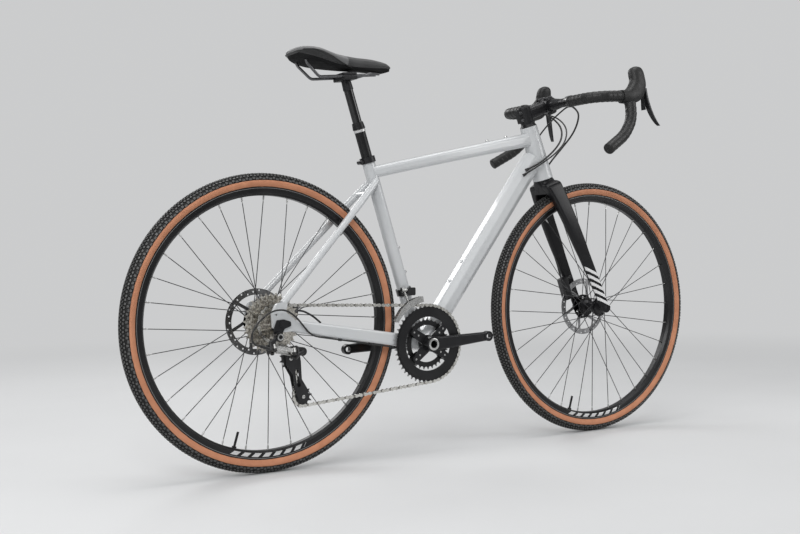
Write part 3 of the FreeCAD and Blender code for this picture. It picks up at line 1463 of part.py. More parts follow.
def cage_sector(low_y, high_y, first, last):
    """Plate that follows the chainring's edge between two angles."""
    def at(radius, angle):
        turn = math.radians(angle)
        return Vector(crank_centre.x + radius * math.cos(turn), low_y, crank_centre.z + radius * math.sin(turn))

    inner, outer = fd_cage_inner_radius, fd_cage_outer_radius
    middle = (first + last) / 2
    edges = [arc(at(inner, first), at(inner, middle), at(inner, last)),
             line(at(inner, last), at(outer - 5.0, last)),
             arc(at(outer - 5.0, last), at(outer + 1.0, middle), at(outer, first)),
             line(at(outer, first), at(inner, first))]
    return Part.Face(Part.Wire(edges)).extrude(LEFT * (high_y - low_y))


def fd_cage():
    """Two cage plates over the chain, hung from the bracket's pin."""
    first, last = 98.0, 148.0
    plate_wall = 1.4
    inner_y, outer_y = chain_plane_y + 4.4, chain_plane_y - 4.4
    pieces = [cage_sector(inner_y, inner_y + plate_wall, first, last),
              cage_sector(outer_y - plate_wall, outer_y, first, last)]
    for radius, angle in ((fd_cage_outer_radius - 2.0, 104.0), (fd_cage_inner_radius + 5.0, 146.0)):
        turn = math.radians(angle)
        place = crank_centre + Vector(radius * math.cos(turn), 0, radius * math.sin(turn))
        pieces.append(cross_rod(place, outer_y - plate_wall, inner_y + plate_wall, 2.0))
    eye_front = fd_axis_point + FORWARD * (6.0 - moving_gap)
    eye_back = fd_axis_point - FORWARD * 9.0
    turn = math.radians(117.0)
    hold = crank_centre + Vector((fd_cage_outer_radius - 4.0) * math.cos(turn), inner_y + plate_wall,
                                 (fd_cage_outer_radius - 4.0) * math.sin(turn))
    eye_middle = (eye_front + eye_back) * 0.5
    pieces += [rod(eye_front, eye_back, 6.0), rod(eye_middle, hold, 2.6), Part.makeSphere(2.6, hold)]
    bore = rod(fd_axis_point + FORWARD * 8.0, fd_axis_point - FORWARD * 30.0, fd_pin_radius + running_gap)
    return joined(pieces).cut(bore)


# Seat
post_top = seat_tube_length + dropper_exposed
seal_top = post_top + seal_head_height
stanchion_top = seal_top + stanchion_exposed


def dropper_outer():
    tube = rod(seat_point(seat_tube_length - 130.0), seat_point(post_top), post_radius)
    seal = taper(seat_point(post_top), seat_point(seal_top), seal_head_radius, seal_head_radius - 2.0)
    bore = rod(seat_point(seat_tube_length - 126.0), seat_point(seal_top + 1.0), stanchion_radius + running_gap)
    ring = sleeve(seat_point(post_top - 7.0), seat_point(post_top - 1.0), post_radius + 1.2,
                  post_radius + press_gap)
    return [tube.fuse(seal).cut(bore), ring]


def dropper_stanchion():
    return rod(seat_point(seal_top - 45.0), seat_point(stanchion_top), stanchion_radius)


def seat_clamp():
    """Collar round the top of the seat tube, with its pinch screw behind."""
    low, high = seat_point(seat_tube_length - 13.0), seat_point(seat_tube_length + 1.5)
    back = Vector(-seat_direction.z, 0, seat_direction.x)
    middle = (low + high) * 0.5 + back * (seat_tube_radius + 7.0)
    lug = cross_rod(middle, -7.5, 7.5, 5.5)
    bore = rod(low - seat_direction, high + seat_direction, seat_tube_radius + press_gap)
    screw_hole = cross_rod(middle, -9.0, 9.0, 2.5 + press_gap)
    collar = joined([rod(low, high, seat_tube_radius + 3.4), lug]).cut([bore, screw_hole])
    screw = cross_rod(middle, -8.0, 7.0, 2.5).fuse(cross_rod(middle, -11.0, -7.5 - press_gap, 4.2))
    return [collar, screw]


# Saddle: heights and half widths at stations from the tail to the nose
saddle_middle = seat_point(stanchion_top)
saddle_tail_x = saddle_middle.x - saddle_setback - saddle_length / 2
saddle_stations = ((0.00, 0.42, 87.0, 78.0), (0.05, 0.78, 92.0, 70.0), (0.16, 1.00, 93.0, 62.0),
                   (0.28, 0.88, 88.0, 57.0), (0.42, 0.60, 83.0, 54.0), (0.58, 0.38, 81.0, 53.0),
                   (0.78, 0.28, 80.0, 53.0), (0.94, 0.20, 74.0, 53.0), (1.00, 0.10, 66.0, 55.0))
shell_thickness = 4.0


def saddle_places():
    """Station x, half width, crown height and lower edge height."""
    places = []
    for share, width, crown, edge in saddle_stations:
        places.append((saddle_tail_x + saddle_length * share, saddle_half_width * width,
                       saddle_middle.z + crown, saddle_middle.z + edge))
    return places


def saddle_cover():
    """Padded top: crowned across, drawn in along its lower edge."""
    sections = []
    for x, half, crown, edge in saddle_places():
        depth = crown - edge
        shoulder = Vector(x, half * 0.62, crown - depth * 0.14)
        side = Vector(x, half, edge + depth * 0.42)
        hem = Vector(x, half * 0.88, edge)
        top = Vector(x, 0, crown)
        other = across([shoulder, side, hem])
        edges = [line(other[2], hem), arc(hem, side, shoulder), arc(shoulder, top, other[0]),
                 arc(other[0], other[1], other[2])]
        sections.append(Part.Wire(edges))
    return loft(sections)


def saddle_shell():
    """Stiff base under the cover."""
    sections = []
    for x, half, _, edge in saddle_places()[1:-1]:
        width = half * 0.84
        high = edge - press_gap
        corners = [Vector(x, -width, high), Vector(x, width, high), Vector(x, width * 0.9, high - shell_thickness),
                   Vector(x, -width * 0.9, high - shell_thickness)]
        sections.append(Part.makePolygon(corners + corners[:1]))
    return loft(sections).cut([saddle_cover()] + rail_pair(rail_radius + press_gap))


def rail_points():
    """Left rail, from its socket under the nose to its socket under the tail."""
    places = saddle_places()
    half = rail_spacing / 2
    base = saddle_middle.z
    front_x, _, _, front_edge = places[6]
    rear_x = places[2][0] - 18.0
    rear_edge = places[2][3] + (places[1][3] - places[2][3]) * 0.6
    front_z = front_edge - shell_thickness - seat_gap * 3 - rail_radius
    rear_z = rear_edge - shell_thickness - seat_gap * 5
    return [Vector(front_x + 24.0, half * 0.35, front_z), Vector(front_x - 6.0, half * 0.8, front_z - 2.0),
            Vector(saddle_middle.x + 36.0, half, base + 37.0), Vector(saddle_middle.x - 92.0, half, base + 23.0),
            Vector(rear_x + 4.0, half * 1.15, rear_z - 9.0), Vector(rear_x, half * 1.2, rear_z)]


def rail_pair(radius):
    points = rail_points()
    radii = [min(16.0, corner_limit(*points[i - 1:i + 2])) for i in range(1, len(points) - 1)]
    left = bent_rod(points, radii, radius)
    return [left, mirrored(left)]


def rail_grip(x):
    """Point on the rails' straight part at this x."""
    front, rear = rail_points()[2:4]
    share = (x - rear.x) / (front.x - rear.x)
    return rear + (front - rear) * share


def saddle_clamp():
    """Head on the stanchion with a lower cradle, and the upper cradle over the rails."""
    grip = rail_grip(saddle_middle.x - 9.0)
    front, rear = rail_points()[2:4]
    along = (front - rear).normalize()
    rise = Vector(-along.z, 0, along.x)
    centre = Vector(grip.x, 0, grip.z)
    half_width = rail_spacing / 2 + 6.5

    def cradle(low, high):
        return loft([box_section(centre + rise * ((low + high) / 2) + along * reach, LEFT, rise, 2 * half_width,
                                 high - low, 3.0) for reach in (-18.0, 18.0)], True)

    grooves = [rod(grip - along * 30.0, grip + along * 30.0, rail_radius + press_gap)]
    grooves += [mirrored(groove) for groove in grooves]
    lower = cradle(-10.0, -0.4)
    upper = cradle(0.4, 8.0)
    neck_foot = seat_point(stanchion_top + press_gap)
    neck = taper(neck_foot, seat_point(stanchion_top + 27.0), stanchion_radius + 1.5, stanchion_radius)
    screw = rod(centre + along * 10.0 + rise * (8.0 + press_gap), centre + along * 10.0 + rise * 11.5, 4.2)
    return [lower.fuse(neck).cut(grooves), upper.cut(grooves), screw]


# Axles and screws
def thru_axle(centre, hub_width, end_thickness, right_extra):
    """Axle through both dropouts, with its head on the left."""
    outer = hub_width / 2 + end_thickness
    body = cross_rod(centre, -outer - right_extra, outer, axle_radius)
    head = cross_rod(centre, outer + press_gap, outer + 5.0, 9.0)
    socket = cross_rod(centre, outer + 2.0, outer + 6.0, 3.0)
    return body.fuse(cross_rod(centre, outer - 1.0, outer + 1.0, axle_radius)).fuse(head).cut(socket)


def frame_bolts():
    """Screws in the seat tube and top tube bosses."""
    seat_pair, _, top_pair = boss_places()
    bolts = []
    for point, outward in seat_pair + top_pair:
        seat = point + outward * (boss_height + press_gap)
        head = taper(seat, seat + outward * 3.2, 4.4, 3.2).cut(rod(seat + outward * 1.2, seat + outward * 4.0, 1.9))
        bolts.append(head.fuse(rod(seat - outward * 9.0, seat, boss_thread_radius - press_gap)))
    return bolts


# Cables
hose_radius = 2.5
shift_cable_radius = 2.1


def spread(*places):
    return [Vector(*place) for place in places]


upper_port = Vector(265.0, 26.8, 735.5)
lower_port = Vector(255.5, 26.8, 722.0)
tape_rim_radius = 14.5
tape_end_y = tape_start - 0.4


def bar_cable_routes():
    """Name, radius and points of each hose and cable between the bar and the frame or fork."""
    def under_tape(side, angle):
        drop = tilted(angle) * tape_rim_radius
        return bar_centre + drop + LEFT * (side * tape_end_y)

    right_upper, right_lower = across([upper_port, lower_port])
    return (
        ("rear hose", hose_radius, [right_upper] + spread(
            (286, -31, 745), (314, -36, 762), (352, -35, 790), (388, -22, 822), (408, 2, 858), (402, 30, 886),
            (382, 52, 902), (367.5, 70, 908.3)) + [under_tape(1, -20.0)]),
        ("front shift", shift_cable_radius, [right_lower] + spread(
            (278, -31.5, 735), (308, -37, 753), (352, -38.5, 780), (398, -26, 815), (425, -2, 857), (420, 31, 889),
            (394, 57, 900), (371, 72, 900)) + [under_tape(1, -45.0)]),
        ("front hose", hose_radius, spread(
            (362, 49.9, 672), (366, 50.4, 694), (373, 47, 722), (389, 38, 757), (420, 21, 798), (449, -4, 845),
            (443, -34, 888), (410, -56, 903), (376, -70, 909)) + [under_tape(-1, -15.0)]),
        ("rear shift", shift_cable_radius, [upper_port] + spread(
            (287, 33, 750), (312, 37, 773), (332, 36, 803), (345, 24, 834), (354, 0, 860), (361, -28, 882),
            (364, -52, 895), (363.8, -70, 902.5)) + [under_tape(-1, -45.0)]),
        ("post cable", shift_cable_radius, [lower_port] + spread(
            (281, 33, 741), (311, 40, 766), (336, 46, 799), (350, 53, 835), (357, 61, 866), (358.5, 71, 889))
         + [under_tape(1, -72.0)]))


def bar_cables():
    """Hoses and cables from under the tape to their ports on the down tube and fork."""
    return [cable(points, radius, name) for name, radius, points in bar_cable_routes()]


def cable_ports():
    """Slanted grommets on the down tube where cables go in."""
    tube = down_tube()
    ports = []
    for _, _, points in bar_cable_routes():
        if abs(points[0].x - lower_port.x) > 20.0:
            continue
        inward = (points[0] - points[1]).normalize()
        mouth = points[0] + inward * press_gap
        ports.append(taper(mouth, mouth + inward * 10.0, 3.3, 4.2).cut(tube))
    return ports


def frame_cables():
    """Rear shift cable looped to the derailleur, and the hose into the rear brake."""
    end = cable_barrel() + Vector(-0.6, 0, 0.4)
    shift = spread((-144, -27.5, 272.2), (-185, -35, 279.3), (-249, -45, 290.4), (-313, -54, 301.4),
                   (-376, -62.5, 312), (-427, -77, 321), (-448, -81, 342), (-473, -89, 368), (-502, -94, 386),
                   (-534, -96, 385), (-560, -96, 370), (-579, -96, 351), (-588, -95.5, 332), (-586, -95, 316),
                   (-577, -94.3, 308)) + [end]
    axle, along, away = caliper_frame_rear()
    entry = axle + along * (caliper_high + moving_gap) + away * (rear_caliper_near + 15.0)
    entry = entry + LEFT * (rear_rotor_y + 8.0)
    stay_top = Vector(-333.0, 57.2, 341.0)
    hose = [entry, entry + along * 16.0 + away * 3.0, entry + along * 36.0 - away * 2.0,
            entry + along * 54.0 - away * 10.0 - LEFT * 4.0, stay_top]
    return [cable(shift, shift_cable_radius, "derailleur loop"), cable(hose, hose_radius, "rear brake hose")]


def caliper_frame_rear():
    """Corner by the rear axle, and the ways along the chainstay and up from it."""
    along = (crank_centre - rear_axle).normalize()
    return rear_axle, along, Vector(-along.z, 0, along.x)


def front_brake_hose():
    """Hose from the fork leg into the front brake."""
    axle, up, back = caliper_frame_front()
    entry = axle + up * (caliper_high + moving_gap) + back * (caliper_back + 13.0) + LEFT * (front_rotor_y + 6.0)
    points = [entry, entry + up * 18.0 + back * 1.0, entry + up * 38.0 - back * 2.0 + LEFT * 2.0,
              entry + up * 54.0 - back * 4.0 + LEFT * 6.0]
    return [cable(points, hose_radius, "front brake hose")]


nodes = {}


def build_wheels():
    spokes, rim_holes, flange_holes = laced_wheel(front_axle, front_flange_left, front_flange_right)
    nodes["front_tyre"] = [tyre(front_axle)]
    nodes["front_rim"] = rim(front_axle, rim_holes)
    nodes["front_spokes"] = spokes
    nodes["front_hub"] = [front_hub(flange_holes)]
    nodes["front_rotor"] = [rotor(front_axle, front_rotor_y)]
    spokes, rim_holes, flange_holes = laced_wheel(rear_axle, rear_flange_left, rear_flange_right)
    nodes["rear_tyre"] = [tyre(rear_axle)]
    nodes["rear_rim"] = rim(rear_axle, rim_holes)
    nodes["rear_spokes"] = spokes
    nodes["rear_hub"] = [rear_hub(flange_holes)]
    nodes["rear_rotor"] = [rotor(rear_axle, rear_rotor_y)]


def build_drive():
    cage_turn = settled_cage()
    pins, overshoot = drive_chain(cage_turn).pins(chain_links)
    guide, tension = cage_places(cage_turn)
    print(f"chain closes within {overshoot:.4f} mm with the cage turned {cage_turn:.2f} degrees")
    print(f"guide pulley {guide}, tension pulley {tension}")
    nodes["chain"] = chain(pins)
    nodes["cassette"] = cassette(roller_phase(pins, rear_axle, sprocket_teeth[chain_sprocket]))
    nodes["crank_right"] = [on_crank(crank_arm())]
    nodes["crank_left"] = [on_crank(left_crank_arm())]
    ring_phase = roller_phase(pins, crank_centre, outer_ring_teeth)
    nodes["chainring_outer"] = [chainring(outer_ring_teeth, outer_ring_y, ring_phase, 68.0, outer_bolt_circle,
                                          3.8)]
    nodes["chainring_inner"] = [chainring(inner_ring_teeth, inner_ring_y, 0.0, 47.0, inner_bolt_circle, 2.2)]
    nodes["chainring_bolts"] = chainring_bolts()
    nodes["bottom_bracket"] = bottom_bracket()
    pulley_bore = pulley_pin_radius + running_gap
    for name, place in (("guide_pulley", guide), ("tension_pulley", tension)):
        turn = roller_phase(pins, place, pulley_teeth)
        nodes[name] = [toothed_wheel(place, pulley_teeth, chain_plane_y, 2.0, turn, pulley_bore)]


def build_frame():
    nodes["main_frame"] = [main_frame()]
    nodes["rear_stays"] = [rear_stays()]


def both_sides(name, shape):
    """Right piece and its mirror image on the left, as two nodes."""
    nodes[f"{name}_right"] = [shape]
    nodes[f"{name}_left"] = [mirrored(shape)]


def build_steering():
    nodes["headset_bearings"] = headset_bearings()
    nodes["fork"] = [fork()]
    nodes["front_axle"] = [thru_axle(front_axle, front_hub_width, fork_end_thickness, -1.0)]
    nodes["headset_spacers"] = headset_spacers()
    nodes["stem"] = [stem()]
    nodes["stem_faceplate"] = [stem_faceplate()]
    nodes["stem_bolts"] = stem_bolts()
    nodes["handlebar"] = [handlebar()]
    blank = hood_blank()
    tape = right_tape(blank)
    hood = lever_hood(blank)
    nodes["bar_tape"] = tape + [mirrored(piece) for piece in tape]
    nodes["lever_hoods"] = [hood, mirrored(hood)]
    both_sides("lever_block", lever_block())
    both_sides("brake_lever", brake_lever())
    both_sides("shift_paddle", shift_paddle())


def build_derailleurs():
    cage_turn = settled_cage()
    nodes["derailleur_hanger"] = derailleur_hanger()
    nodes["rd_body"] = rd_body()
    nodes["rd_outer_link"] = [rd_link(upper_pivot)]
    nodes["rd_inner_link"] = [rd_link(inner_pivot(upper_pivot))]
    nodes["rd_knuckle"] = [rd_knuckle()]
    nodes["rd_cage"] = [spun(rd_cage(), cage_pivot, cage_turn)]
    nodes["fd_body"] = [fd_body()]
    nodes["fd_cage"] = [fd_cage()]


def build_seat():
    nodes["seat_clamp"] = seat_clamp()
    nodes["dropper_outer"] = dropper_outer()
    nodes["dropper_stanchion"] = [dropper_stanchion()]
    nodes["saddle_clamp"] = saddle_clamp()
    nodes["saddle_rails"] = rail_pair(rail_radius)
    nodes["saddle_shell"] = [saddle_shell()]
    nodes["saddle_cover"] = [saddle_cover()]


def build_brakes_and_cables():
    nodes["rear_axle"] = [thru_axle(rear_axle, rear_hub_width, dropout_thickness, 5.5)]
    nodes["front_caliper"] = caliper(*caliper_frame_front(), front_rotor_y, caliper_back, front_caliper_reach)
    nodes["rear_caliper"] = caliper(*caliper_frame_rear(), rear_rotor_y, rear_caliper_near, rear_caliper_reach)
    nodes["bar_cables"] = bar_cables()
    nodes["cable_ports"] = cable_ports()
    nodes["frame_cables"] = frame_cables()
    nodes["front_brake_hose"] = front_brake_hose()
    nodes["frame_bolts"] = frame_bolts()


build_wheels()
build_drive()
build_frame()
build_steering()
build_derailleurs()
build_seat()
build_brakes_and_cables()

os.makedirs("parts", exist_ok=True)
for name, solids in nodes.items():
    shape = Part.makeCompound(solids)
    bad = [i for i, solid in enumerate(solids) if not solid.isValid() or len(solid.Solids) != 1]
    print(f"{name}: {len(shape.Solids)} solids, {shape.Volume / 1000:.1f} cm3{', faulty ' + str(bad) if bad else ''}")
    shape.exportStep(f"parts/{name}.step")
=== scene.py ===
# %% [markdown]
# A gravel bike, dressed over its solid model. The solids hold every real size, so each cell below
# either gives a solid its finish or puts a finer piece in the same place.
# Everything is in metres: +X forward, +Y to the rider's left, +Z up, origin on the ground.

# %% Load the frame
import math

import bmesh
import bpy
import numpy as np
from mathutils import Matrix, Vector


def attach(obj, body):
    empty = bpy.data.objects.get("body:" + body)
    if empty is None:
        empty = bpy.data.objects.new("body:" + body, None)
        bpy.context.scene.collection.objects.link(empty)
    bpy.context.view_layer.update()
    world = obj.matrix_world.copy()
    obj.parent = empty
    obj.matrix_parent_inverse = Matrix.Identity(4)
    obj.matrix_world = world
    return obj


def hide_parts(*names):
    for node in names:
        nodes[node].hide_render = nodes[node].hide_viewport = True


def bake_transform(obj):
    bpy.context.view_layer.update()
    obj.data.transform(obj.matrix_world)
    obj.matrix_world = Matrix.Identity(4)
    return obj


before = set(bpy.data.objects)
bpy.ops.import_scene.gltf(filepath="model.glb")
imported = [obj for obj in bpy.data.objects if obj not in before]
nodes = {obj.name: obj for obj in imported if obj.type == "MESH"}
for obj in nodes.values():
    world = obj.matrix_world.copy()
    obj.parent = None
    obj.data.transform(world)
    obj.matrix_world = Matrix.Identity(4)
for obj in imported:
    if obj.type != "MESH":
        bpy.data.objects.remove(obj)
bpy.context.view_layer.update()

# %% [markdown]
# A few places of the bike come back in many cells, so they are named once.
# They are the same values that drive the solids.

# %% Measures
tyre_radius = 0.352
rear_axle = Vector((-0.5075, 0, tyre_radius))
front_axle = Vector((0.5075, 0, tyre_radius))
crank_centre = Vector((-0.08324, 0, 0.282))
bar_centre = Vector((0.3530, 0, 0.91419))
steer_foot = Vector((0.46495, 0, 0.33735))
steer_direction = Vector((-0.3256, 0, 0.9455))
steer_forward = Vector((0.9455, 0, 0.3256))
print("axles", tuple(round(v, 4) for v in rear_axle), tuple(round(v, 4) for v in front_axle))

# %% [markdown]
# The camera stands behind the right side, low, as for a catalogue picture. It comes first so that
# every later cell can be looked at from the same place. Its turn, height and slight roll were worked
# out from where the wheels, the bottom bracket and the head tube fall in the picture.

# %% Camera
def placed(name, data):
    """Object made from data, linked to the scene."""
    made = bpy.data.objects.new(name, data)
    bpy.context.scene.collection.objects.link(made)
    return made


azimuth, elevation, roll = math.radians(-32.013), math.radians(0.573), math.radians(-0.84)
level = math.cos(elevation)
back = Vector((math.sin(azimuth) * level, -math.cos(azimuth) * level, math.sin(elevation)))
right = Vector((math.cos(azimuth), math.sin(azimuth), 0))
up = back.cross(right)
rolled_right = right * math.cos(roll) + up * math.sin(roll)
rolled_up = up * math.cos(roll) - right * math.sin(roll)
stand = Vector((-1.569322, -2.295481, 0.50348))
lens = bpy.data.cameras.new("catalogue_camera")
lens.lens = 48.04
lens.sensor_width = 36.0
camera = placed("catalogue_camera", lens)
camera.matrix_world = Matrix([(rolled_right[i], rolled_up[i], back[i], stand[i]) for i in range(3)]
                             + [(0, 0, 0, 1)])
bpy.context.scene.camera = camera
bpy.context.scene.view_settings.view_transform = "Standard"
print("camera at", tuple(round(v, 3) for v in stand), "lens", lens.lens)

# %% [markdown]
# The finishes on the bike share a few effects: a slow change of tone, a fine grain, rings from turning
# on a lathe, woven threads and rows of slanted bars. Each is a node group with named sockets, so one
# recipe is tuned by its inputs in many materials instead of being drawn again each time.

# %% Helpers for node trees
def put(tree, socket, source):
    """Link another socket to an input, or set the input to a value."""
    if isinstance(source, bpy.types.NodeSocket):
        tree.links.new(source, socket)
    else:
        socket.default_value = source


def linked(tree, kind, settings=None, **sources):
    """Add a node; a source is a value for the input of that name, or a socket to link to it.
    Inputs without a name of their own are i0, i1 and so on."""
    node = tree.nodes.new(kind)
    for name, value in (settings or {}).items():
        setattr(node, name, value)
    for name, source in sources.items():
        numbered = name[0] == "i" and name[1:].isdigit()
        put(tree, node.inputs[int(name[1:]) if numbered else name.replace("_", " ")], source)
    return node


def calc(tree, operation, first, second=0.0):
    return linked(tree, "ShaderNodeMath", {"operation": operation}, i0=first, i1=second).outputs[0]


def ramp(tree, value, low, high, start=0.0, end=1.0):
    """Straight ramp from start to end while value goes from low to high."""
    node = linked(tree, "ShaderNodeMapRange", Value=value, From_Min=low, From_Max=high, To_Min=start,
                  To_Max=end)
    return node.outputs["Result"]


def new_group(name, inputs, *outputs):
    """Empty group; an input without a value is a vector, and so is an output called Normal."""
    group = bpy.data.node_groups.new(name, "ShaderNodeTree")
    for label, value in inputs.items():
        kind = "NodeSocketVector" if value is None else "NodeSocketFloat"
        socket = group.interface.new_socket(label, in_out="INPUT", socket_type=kind)
        if value is not None:
            socket.default_value = value
    for label in outputs:
        kind = "NodeSocketVector" if label == "Normal" else "NodeSocketFloat"
        group.interface.new_socket(label, in_out="OUTPUT", socket_type=kind)
    return group, group.nodes.new("NodeGroupInput").outputs, group.nodes.new("NodeGroupOutput").inputs


# %% Mottle and grain
def mottle_group():
    """A value between Low and High that wanders slowly over the surface."""
    group, given, out = new_group("Mottle", {"Vector": None, "Scale": 20.0, "Low": 0.0, "High": 1.0},
                                  "Value")
    noise = linked(group, "ShaderNodeTexNoise", Vector=given["Vector"], Scale=given["Scale"], Detail=4.0,
                   Roughness=0.55)
    group.links.new(ramp(group, noise.outputs["Fac"], 0.3, 0.7, given["Low"], given["High"]), out["Value"])
    return group


def grain_group():
    """Fine grain as a normal: sandy when Cells is 0, pebbled when it is 1."""
    group, given, out = new_group("Grain", {"Vector": None, "Scale": 900.0, "Cells": 0.0, "Strength": 0.2,
                                            "Depth": 0.0002}, "Normal")
    sand = linked(group, "ShaderNodeTexNoise", Vector=given["Vector"], Scale=given["Scale"], Detail=3.0)
    pebble = linked(group, "ShaderNodeTexVoronoi", Vector=given["Vector"], Scale=given["Scale"])
    height = linked(group, "ShaderNodeMix", Factor=given["Cells"], A=sand.outputs["Fac"],
                    B=pebble.outputs["Distance"]).outputs[0]
    bump = linked(group, "ShaderNodeBump", Height=height, Strength=given["Strength"],
                  Distance=given["Depth"])
    group.links.new(bump.outputs["Normal"], out["Normal"])
    return group


MOTTLE = mottle_group()
GRAIN = grain_group()
print("groups:", MOTTLE.name, GRAIN.name)

# %% Lathe rings, threads and bars
def polar(group, vector, centre):
    """Distance from an axle that runs along Y, and the angle round it."""
    offset = linked(group, "ShaderNodeVectorMath", {"operation": "SUBTRACT"}, i0=vector, i1=centre)
    axes = linked(group, "ShaderNodeSeparateXYZ", Vector=offset.outputs[0]).outputs
    squares = calc(group, "ADD", calc(group, "MULTIPLY", axes["X"], axes["X"]),
                   calc(group, "MULTIPLY", axes["Z"], axes["Z"]))
    return calc(group, "SQRT", squares), calc(group, "ARCTAN2", axes["Z"], axes["X"])


def lathe_group():
    """Rings left by turning about an axle, with the distance from it and the angle round it."""
    group, given, out = new_group("Lathe Rings", {"Vector": None, "Centre": None, "Scale": 2500.0,
                                                  "Low": 0.2, "High": 0.4}, "Value", "Radius", "Angle")
    radius, angle = polar(group, given["Vector"], given["Centre"])
    rings = linked(group, "ShaderNodeTexNoise", {"noise_dimensions": "1D"}, W=radius, Scale=given["Scale"],
                   Detail=3.0)
    group.links.new(ramp(group, rings.outputs["Fac"], 0.3, 0.7, given["Low"], given["High"]), out["Value"])
    group.links.new(radius, out["Radius"])
    group.links.new(angle, out["Angle"])
    return group


def threads_group():
    """Two crossed sets of threads round an axle, as in a tyre's wall."""
    group, given, out = new_group("Crossed Threads", {"Vector": None, "Centre": None, "Spacing": 0.001},
                                  "Shade")
    radius, angle = polar(group, given["Vector"], given["Centre"])
    wall_radius = 0.326
    arc = calc(group, "MULTIPLY", angle, wall_radius)
    waves = []
    for operation in ("ADD", "SUBTRACT"):
        turns = calc(group, "DIVIDE", calc(group, operation, arc, radius), given["Spacing"])
        waves.append(calc(group, "SINE", calc(group, "MULTIPLY", turns, 2 * math.pi)))
    group.links.new(ramp(group, calc(group, "ADD", *waves), -2.0, 2.0, 0.35, 1.0), out["Shade"])
    return group


def bars_group():
    """Mask of a row of slanted bars between Start and End along, and Low and High across."""
    group, given, out = new_group("Slanted Bars", {"Along": 0.0, "Across": 0.0, "Start": 0.0, "End": 1.0,
                                                   "Low": 0.0, "High": 1.0, "Pitch": 0.02, "Fill": 0.5,
                                                   "Slant": 0.5}, "Mask")
    leaning = calc(group, "ADD", given["Along"], calc(group, "MULTIPLY", given["Across"], given["Slant"]))
    place = calc(group, "SUBTRACT", leaning, given["Start"])
    share = calc(group, "FRACT", calc(group, "DIVIDE", place, given["Pitch"]))
    mask = calc(group, "LESS_THAN", share, given["Fill"])
    across = given["Across"]
    for test, value, limit in (("GREATER_THAN", leaning, "Start"), ("LESS_THAN", leaning, "End"),
                               ("GREATER_THAN", across, "Low"), ("LESS_THAN", across, "High")):
        mask = calc(group, "MULTIPLY", mask, calc(group, test, value, given[limit]))
    group.links.new(mask, out["Mask"])
    return group


LATHE = lathe_group()
THREADS = threads_group()
BARS = bars_group()
print("groups:", LATHE.name, THREADS.name, BARS.name)

# %% [markdown]
# A finish starts from one Principled shader. The same start lets the tone and the gloss drift a little
# and gives the surface a grain, because one flat colour reads as plastic on everything. What is special
# about a finish is then added by its own cell.

# %% Finish maker
class Finish:
    """A material, its shader, and coordinates that move with the piece."""

    def __init__(self, name, colour, roughness, metallic=0.0, coat=0.0, coat_roughness=0.06,
                 specular=0.5):
        self.material = bpy.data.materials.new(name)
        self.material.use_nodes = True
        self.material.diffuse_color = (*colour, 1.0)
        self.tree = self.material.node_tree
        self.tree.nodes.clear()
        self.output = self.tree.nodes.new("ShaderNodeOutputMaterial")
        self.shader = linked(self.tree, "ShaderNodeBsdfPrincipled", Base_Color=(*colour, 1.0),
                             Roughness=roughness, Metallic=metallic, Coat_Weight=coat,
                             Coat_Roughness=coat_roughness, Specular_IOR_Level=specular)
        self.tree.links.new(self.shader.outputs[0], self.output.inputs["Surface"])
        self.place = self.tree.nodes.new("ShaderNodeTexCoord").outputs["Object"]

    def group(self, group, **inputs):
        """Add a node group; one that works on places gets the piece's own."""
        node = self.tree.nodes.new("ShaderNodeGroup")
        node.node_tree = group
        for name, value in inputs.items():
            put(self.tree, node.inputs[name], value)
        if "Vector" in node.inputs:
            put(self.tree, node.inputs["Vector"], self.place)
        return node.outputs

    def axis(self, name):
        """X, Y or Z of each point."""
        return linked(self.tree, "ShaderNodeSeparateXYZ", Vector=self.place).outputs[name]

    def mix(self, first, second, factor, blend="MIX"):
        """Colour between two colours or sockets, by a mask."""
        node = linked(self.tree, "ShaderNodeMix", {"data_type": "RGBA", "blend_type": blend}, i0=factor)
        for index, colour in ((6, first), (7, second)):
            ready = isinstance(colour, bpy.types.NodeSocket)
            put(self.tree, node.inputs[index], colour if ready else (*colour, 1.0))
        return node.outputs[2]

    def feed(self, name, socket):
        self.tree.links.new(socket, self.shader.inputs[name])

    def tint(self, colour, mask):
        """Let the colour so far give way to another, by a mask."""
        self.colour = self.mix(self.colour, colour, mask)
        self.feed("Base Color", self.colour)


def drifting(name, dark, light, rough, scale=14.0, grain=0.15, grain_scale=900.0, cells=0.0,
             depth=0.0001, **shader):
    """Finish whose tone and gloss drift, with a fine grain; other values go to its shader."""
    finish = Finish(name, light, rough[0], **shader)
    finish.colour = finish.mix(dark, light, finish.group(MOTTLE, Scale=scale)["Value"])
    finish.feed("Base Color", finish.colour)
    finish.feed("Roughness", finish.group(MOTTLE, Scale=scale * 3.1, Low=rough[0], High=rough[1])["Value"])
    surface = finish.group(GRAIN, Scale=grain_scale, Strength=grain, Cells=cells, Depth=depth)
    finish.feed("Normal", surface["Normal"])
    return finish


def dress(finish, *names):
    """Give solids of the model this finish."""
    for name in names:
        slots = nodes[name].data.materials
        slots.clear()
        slots.append(finish.material)
    print(finish.material.name, "->", ", ".join(names))


# %% [markdown]
# The frame is pale grey paint under clear lacquer. The lacquer keeps sharp reflections over a softer
# base, which is what makes paint read as paint; a very slight orange-peel wave bends them.

# %% Frame paint
frame_paint = drifting("frame_paint", (0.50, 0.515, 0.527), (0.56, 0.572, 0.580), (0.28, 0.38), coat=0.8,
                       scale=4.0, grain=0.06, grain_scale=240.0, depth=0.0004)
dress(frame_paint, "main_frame", "rear_stays")

# %% [markdown]
# The fork is black under a soft lacquer, with a short row of pale slanted bars low on the outside of each
# leg. The bars are placed by the height along the steering axis and the distance ahead of it, so they
# lean with the leg.

